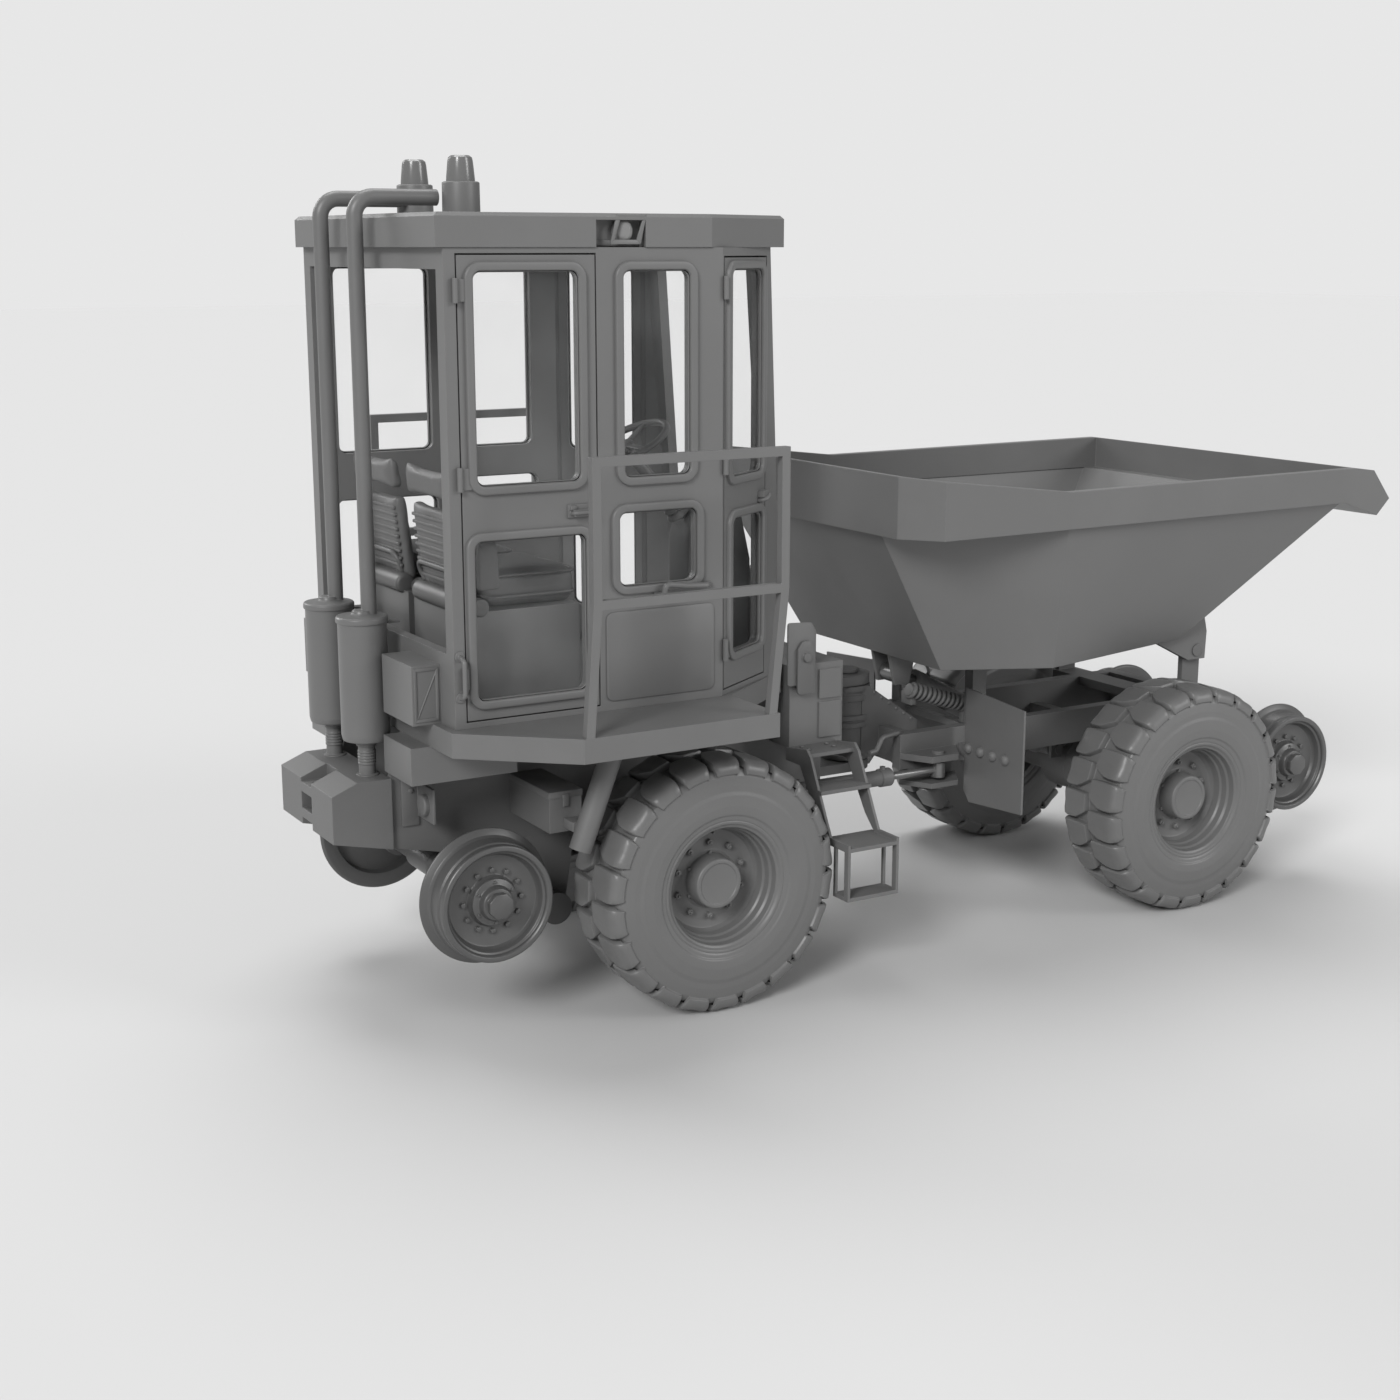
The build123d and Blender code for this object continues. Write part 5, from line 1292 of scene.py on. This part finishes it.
def steering_barrel(side):
    start, end = steering_line(side)
    outline = [(0.026, 0), (0.030, 0.022), (0.045, 0.0365), (0.528, 0.0365), (0.532, 0.0425), (0.586, 0.0425),
               (0.592, 0.038), (0.592, 0.0195), (0.30, 0.0195), (0.30, 0.0)]
    eye = turned(rounded([(-0.038, 0.0162), (-0.038, 0.034), (0.038, 0.034), (0.038, 0.0162)], 0.003), 36)
    boss = turned([(0, 0), (0, 0.013), (0.052, 0.013), (0.052, 0)], 20)
    along = between(start, end)
    parts = [(turned(rounded(outline, 0.003, 2), 48), along), (eye, Matrix.Translation(start) @ UPRIGHT)]
    return parts + [(boss.copy(), along @ moved(y=y) @ UPRIGHT) for y in (0.09, 0.55)]


def steering_rod(side):
    start, end = steering_line(side)
    length = (end - start).length
    eye = turned(rounded([(-0.036, 0), (-0.036, 0.033), (0.036, 0.033), (0.036, 0)], 0.003), 36)
    bar = turned([(0.31, 0), (0.31, 0.0178), (length - 0.02, 0.0178), (length - 0.02, 0)], 40)
    return [(bar, between(start, end)), (eye, Matrix.Translation(end) @ UPRIGHT)]


for name, side in SIDES.items():
    piece(f"steering_barrel_{name}", gather(steering_barrel(side)), "chassis_paint", f"steer_barrel_{name}",
          [f"steer_barrel_{name}"])
    piece(f"steering_rod_{name}", gather(steering_rod(side)), "rod_chrome", f"steer_rod_{name}",
          [f"steer_rod_{name}"])

RINGS = [
    (0.750, 0.0), (0.750, 0.112), (0.775, 0.112), (0.778, 0.103), (0.905, 0.103), (0.908, 0.116),
    (0.930, 0.116), (0.933, 0.108), (0.940, 0.108), (0.943, 0.118), (0.965, 0.118), (0.968, 0.104),
    (1.030, 0.104), (1.033, 0.112), (1.060, 0.112), (1.063, 0.106), (1.075, 0.106), (1.078, 0.114),
    (1.104, 0.114), (1.104, 0.0)]
piece("pivot_bearing_rings", gather([(turned(rounded(RINGS, 0.002, 2), 64), moved(PIVOT_X) @ UPRIGHT)]),
      "cast_metal", "front_frame")

PROP_TOP, PROP_FOOT = (-1.560, 0.770, 1.209), (-1.735, 0.770, 0.762)


def deck_prop():
    """Slanted tube with a stepped foot, and the stay that ties it to the chassis."""
    length = (Vector(PROP_FOOT) - Vector(PROP_TOP)).length
    bar = turned(rounded([(0.0, 0), (0.0, 0.0455), (length - 0.002, 0.0455), (length - 0.002, 0.040),
                          (length - 0.02, 0.040), (length - 0.02, 0)], 0.0015), 48)
    stay = slab((-1.745, 0.650, 0.830), (-1.680, 0.735, 0.870), 0.004)
    return [(bar, between(PROP_TOP, PROP_FOOT)), (stay, moved())]


piece("deck_prop_tubes", gather(both_sides(deck_prop())), "chassis_paint", "rear_frame", ["deck_props"])

# %% [markdown]
# The tipping hoses run inside a coiled guard beside the rear of the skip. On each side one bent pipe leaves the
# rear frame towards the steering cylinder, and another rises over its lug on the front frame. The coil is
# a spiral tree, and the pipes are tube trees through a few points.

# %% Hoses and guards
COIL_START = Vector((0.300, -0.175, 1.075))
COIL_END = Vector((0.636, -0.175, 0.965))
COIL_TURNS = 12


def hose_guard():
    way = COIL_END - COIL_START
    coil = grown(COIL, {"Turns": float(COIL_TURNS), "Radius": 0.033, "Length": way.length - 0.01, "Wire": 0.0085})
    lay = Matrix.Translation(COIL_START) @ way.to_track_quat("Z", "Y").to_matrix().to_4x4()
    core = turned([(0.0, 0), (0.0, 0.026), (way.length, 0.026), (way.length, 0)], 28)
    ends = turned(rounded([(-0.006, 0), (-0.006, 0.030), (0.012, 0.030), (0.012, 0)], 0.003), 36)
    return [(coil, lay), (core, between(COIL_START, COIL_END)), (ends, between(COIL_START, COIL_END)),
            (ends.copy(), between(COIL_END, COIL_START)),
            (slab((0.606, -0.185, 0.880), (0.634, -0.165, 0.960), 0.003), moved()),
            (slab((0.305, -0.185, 1.000), (0.335, -0.106, 1.060), 0.003), moved())]


piece("coiled_hose_guard", gather(hose_guard()), "cast_metal", "front_frame", ["hose_guard"])
# on the rear frame out of the bulkhead, and on the front frame bent like an S over the steering lug
REAR_PIPE = [
    (-0.262, 0.200, 0.860), (-0.180, 0.235, 0.850), (-0.110, 0.285, 0.835), (-0.060, 0.300, 0.850)]
FRONT_PIPE = [
    (-0.030, 0.330, 0.846), (0.010, 0.330, 0.851), (0.048, 0.320, 0.906), (0.150, 0.300, 0.912),
    (0.190, 0.270, 0.900)]
REAR_PIPE_RADIUS, FRONT_PIPE_RADIUS, PIPE_BEND, PIPE_SIDES = 0.0125, 0.0115, 0.03, 14
rear_pipe = tube(REAR_PIPE, REAR_PIPE_RADIUS, PIPE_BEND, PIPE_SIDES)
front_pipe = tube(FRONT_PIPE, FRONT_PIPE_RADIUS, PIPE_BEND, PIPE_SIDES)
piece("steering_feed_pipes_rear", gather(both_sides([(rear_pipe, moved())])), "hose_rubber", "rear_frame")
piece("steering_feed_pipes_front", gather(both_sides([(front_pipe, moved())])), "hose_rubber", "front_frame")

# %% [markdown]
# Small fastenings sit in rows. Dome bolts hold the mud plates, hexagon heads hold the step's top tread and the
# chassis side plates, and rivets run down the pivot gussets. Each row is one head copied along a line.

# %% Bolts and rivets
DOME_BOLT = [
    (-0.004, 0.0), (-0.004, 0.025), (0.005, 0.025), (0.014, 0.021), (0.021, 0.012), (0.024, 0.0)]
RIVET = [(-0.002, 0.0), (-0.002, 0.009), (0.001, 0.009), (0.004, 0.006), (0.006, 0.0)]
DOME_ROW, DOME_STEP, DOME_COUNT = (0.400, 0.817), (0, 0.090, 0.001), 4
# how far the two rows of heads on the top tread lie from its middle
TREAD_ROWS = (0.055, -0.075)
TREAD_Y, TREAD_TOP, TREAD_STEP = 0.492, 0.966, (0, 0.055, 0)
RIVET_START, RIVET_STEP, RIVET_COUNT = (0.150, 0.106, 1.065), (0.043, 0, -0.030), 6
SIDE_PLATE_START, SIDE_PLATE_STEP, SIDE_PLATE_COUNT = (-0.900, 0.280, 0.760), (0.150, 0, 0), 4


def heads(shape, count, start, step):
    """A row of heads on the left and its mirror image on the right."""
    return both_sides([(row(shape, count, start, step), moved())])


dome = turned(rounded(DOME_BOLT, 0.002), 24)
bmesh.ops.transform(dome, matrix=OUT_X, verts=dome.verts)
plate_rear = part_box("mud_plates")[0].x
piece("mud_plate_bolts", gather(heads(dome, DOME_COUNT, (plate_rear, *DOME_ROW), DOME_STEP)), "cast_metal",
      "front_frame")

tread_x = middle("steps").x
tread_rows = [(row(hexagon(0.011, 0.009), 2, (tread_x + x, TREAD_Y, TREAD_TOP), TREAD_STEP), moved())
              for x in TREAD_ROWS]
piece("step_bolts", gather(both_sides(tread_rows)), "cast_metal", "rear_frame")
piece("gusset_bolts", gather(heads(turned(RIVET, 16), RIVET_COUNT, RIVET_START, RIVET_STEP)), "cast_metal",
      "front_frame")
side_head = along_y(hexagon(0.012, 0.010), 0)
piece("chassis_bolts", gather(heads(side_head, SIDE_PLATE_COUNT, SIDE_PLATE_START, SIDE_PLATE_STEP)), "cast_metal",
      "rear_frame")

# %% [markdown]
# The cab's furniture is bent rod and folded sheet: grab handles by the rear door post, a lever under the middle
# window, pull handles and latches on the doors, a raised panel low on the wall, and a bordered hatch with a
# pressed diagonal on each rear box.

# %% Cab fittings
def handle(points, radius=0.009, bend=0.02):
    return tube(points, radius, bend, 12)


GRAB = [
    (-2.213, 0.738, 1.590), (-2.213, 0.785, 1.580), (-2.213, 0.785, 1.440), (-2.213, 0.738, 1.430)]
ROSE = [(0.736, 0), (0.736, 0.02), (0.744, 0.02), (0.744, 0)]
PANEL = [(-1.590, 1.345), (-1.100, 1.345), (-1.100, 1.700), (-1.590, 1.700)]
LEVER = [
    (-1.352, 0.738, 1.748), (-1.352, 0.776, 1.752), (-1.345, 0.784, 1.800), (-1.245, 0.784, 1.786),
    (-1.150, 0.770, 1.778), (-1.120, 0.738, 1.776)]
PULL = [
    (-1.735, 0.738, 2.100), (-1.735, 0.772, 2.104), (-1.650, 0.774, 2.106), (-1.650, 0.738, 2.110)]
QUARTER_PULL = [(0.335, 0, 2.070), (0.335, 0.034, 2.076), (0.385, 0.036, 2.090), (0.385, 0, 2.100)]
fittings = [(handle(GRAB), moved())]
fittings += [(turned(rounded(ROSE, 0.002), 20), moved(x, 0, z)) for x, z in ((GRAB[0][0], GRAB[0][2]),
                                                                             (GRAB[3][0], GRAB[3][2]))]
fittings += [(plate(rounded(PANEL, 0.035, 5, True), 0.006, 0.0025), moved(y=0.7445) @ UPRIGHT),
             (handle(LEVER, 0.012), moved()),
             (slab((-1.378, 0.736, 1.726), (-1.330, 0.748, 1.772), 0.004), moved())]
door_fittings = {
    "side_door": [(handle(PULL), moved()),
                  (slab((-1.752, 0.737, 2.082), (-1.660, 0.745, 2.136), 0.003), moved()),
                  (slab((-1.744, 0.740, 2.112), (-1.716, 0.756, 2.132), 0.005), moved())],
    "quarter_door": [(handle(QUARTER_PULL), wall("quarter"))]}
for name, mirror in MIRRORS.items():
    piece(f"cab_wall_fittings_{name}", gather([(shape.copy(), mirror @ place) for shape, place in fittings]),
          "body_paint", "rear_frame")
    for door, parts in door_fittings.items():
        piece(f"{door}_handle_{name}", gather([(shape.copy(), mirror @ place) for shape, place in parts]),
              "cast_metal", f"{door}_{name}")


# side view of the hatch: (X, Z) of its corners
HATCH = [(-2.345, 1.320), (-2.244, 1.320), (-2.244, 1.530), (-2.345, 1.530)]
HATCH_BORDER = 0.012
BOX_SIDE_Y = 0.600


def bordered_hatch():
    """Raised border and a pressed diagonal on the side of a rear box."""
    border = [(bar, moved(y=BOX_SIDE_Y + 0.004) @ UPRIGHT) for bar in strip(HATCH, HATCH_BORDER, 0.006)]
    length = (Vector(HATCH[2]) - Vector(HATCH[0])).length - 0.030
    crease = turned(rounded([(0, 0), (0, 0.003), (length, 0.003), (length, 0)], 0.001), 12)
    start = (HATCH[0][0] + HATCH_BORDER, BOX_SIDE_Y, HATCH[0][1] + HATCH_BORDER)
    end = (HATCH[2][0], BOX_SIDE_Y, HATCH[2][1])
    return border + [(crease, between(start, end))]


piece("rear_box_hatches", gather(both_sides(bordered_hatch())), "body_paint", "rear_frame")

# %% [markdown]
# A work lamp sits in a pocket in each side of the roof: a rounded lamp body, leaning outwards, behind a slanted
# frame that closes the front part of the pocket.

# %% Roof lamps
LAMP_CENTRE = (-1.488, 0.706, 3.152)
LAMP_BODY = [
    (-0.020, 0), (-0.020, 0.034), (0.000, 0.041), (0.014, 0.040), (0.024, 0.032), (0.029, 0.018),
    (0.030, 0.0)]
LAMP_TURN, LAMP_STRETCH = 0.5, 1.1
# side view of the frame: (X, Z) of its corners
BEZEL = [(-1.556, 3.104), (-1.427, 3.104), (-1.400, 3.214), (-1.529, 3.214)]
BEZEL_WIDTH = 0.017
BEZEL_Y = 0.744
bezel = [(bar, moved(y=BEZEL_Y) @ UPRIGHT) for bar in strip(BEZEL, BEZEL_WIDTH, 0.008)]
bezel.append((slab((-1.600, 0.690, 3.0975), (-1.410, 0.698, 3.120), 0.003), moved()))
lean_out = Matrix.Rotation(LAMP_TURN, 4, "Z") @ Matrix.Scale(LAMP_STRETCH, 4, (0, 0, 1))
lamp_body = [(turned(rounded(LAMP_BODY, 0.003, 2), 40), moved(*LAMP_CENTRE) @ lean_out)]
piece("roof_lamp_bezels", gather(both_sides(bezel)), "body_paint", "rear_frame")
piece("roof_lamp_lenses", gather(both_sides(lamp_body)), "lamp_lens", "rear_frame", ["roof_lamps"])

# %% [markdown]
# Beside the tail block stands a folded bracket with a round rear lamp on it. In front of the deck a back plate and
# a strap with one big pin join the tank to the deck.

# %% Tail lamps and tank link
LAMP_DISC = [
    (-0.004, 0.0), (-0.004, 0.043), (0.020, 0.043), (0.024, 0.039), (0.026, 0.026), (0.029, 0.0)]
LINK_BACK = [(-0.567, 1.239), (-0.422, 1.239), (-0.422, 1.470), (-0.445, 1.512), (-0.567, 1.519)]
LINK_STRAP = [
    (-0.525, 1.200), (-0.437, 1.200), (-0.437, 1.400), (-0.462, 1.436), (-0.500, 1.436),
    (-0.525, 1.400)]
LINK_PIN = (-0.481, 1.364)
LINK_Y = 0.470
PIN_HEAD = [(0.480, 0), (0.480, 0.022), (0.500, 0.020), (0.500, 0)]
tail_lamp = [(slab((-2.217, 0.282, 0.857), (-2.205, 0.445, 1.001), 0.003), moved()),
             (slab((-2.286, 0.278, 0.820), (-2.212, 0.290, 1.017), 0.003), moved()),
             (turned(rounded(LAMP_DISC, 0.003, 2), 40), moved(-2.217, 0.376, 0.926) @ OUT_X),
             (along_y(hexagon(0.011, 0.008), 0.290), moved(-2.248, 0, 0.969))]
tank_link = [(plate(rounded(LINK_BACK, 0.014, 4, True), 0.012, 0.003), moved(y=LINK_Y) @ UPRIGHT),
             (plate(rounded(LINK_STRAP, 0.020, 4, True), 0.014, 0.004), moved(y=LINK_Y + 0.016) @ UPRIGHT),
             (turned(rounded(PIN_HEAD, 0.004), 28), moved(LINK_PIN[0], 0, LINK_PIN[1]))]
piece("tail_lamps", gather(both_sides(tail_lamp)), "chassis_paint", "rear_frame")
piece("tank_links", gather(both_sides(tank_link)), "chassis_paint", "rear_frame")

# %% [markdown]
# Each tool box has a lid that overlaps its body a little, with a hasp on the outside.

# %% Tool box lids
LID_OVER, LID_DEEP = 0.004, 0.024
HASP_HALF = 0.014
low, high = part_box("tool_boxes")
box_x = (low.x + high.x) / 2
lid = slab((low.x - LID_OVER, 0.282, high.z - LID_DEEP),
           (high.x + LID_OVER, high.y + LID_OVER, high.z + LID_OVER), 0.003)
hasp = slab((box_x - HASP_HALF, high.y - 0.002, high.z - 0.060),
            (box_x + HASP_HALF, high.y + 0.009, high.z - 0.008), 0.003)
piece("tool_box_lids", gather(both_sides([(lid, moved()), (hasp, moved())])), "chassis_paint", "rear_frame")
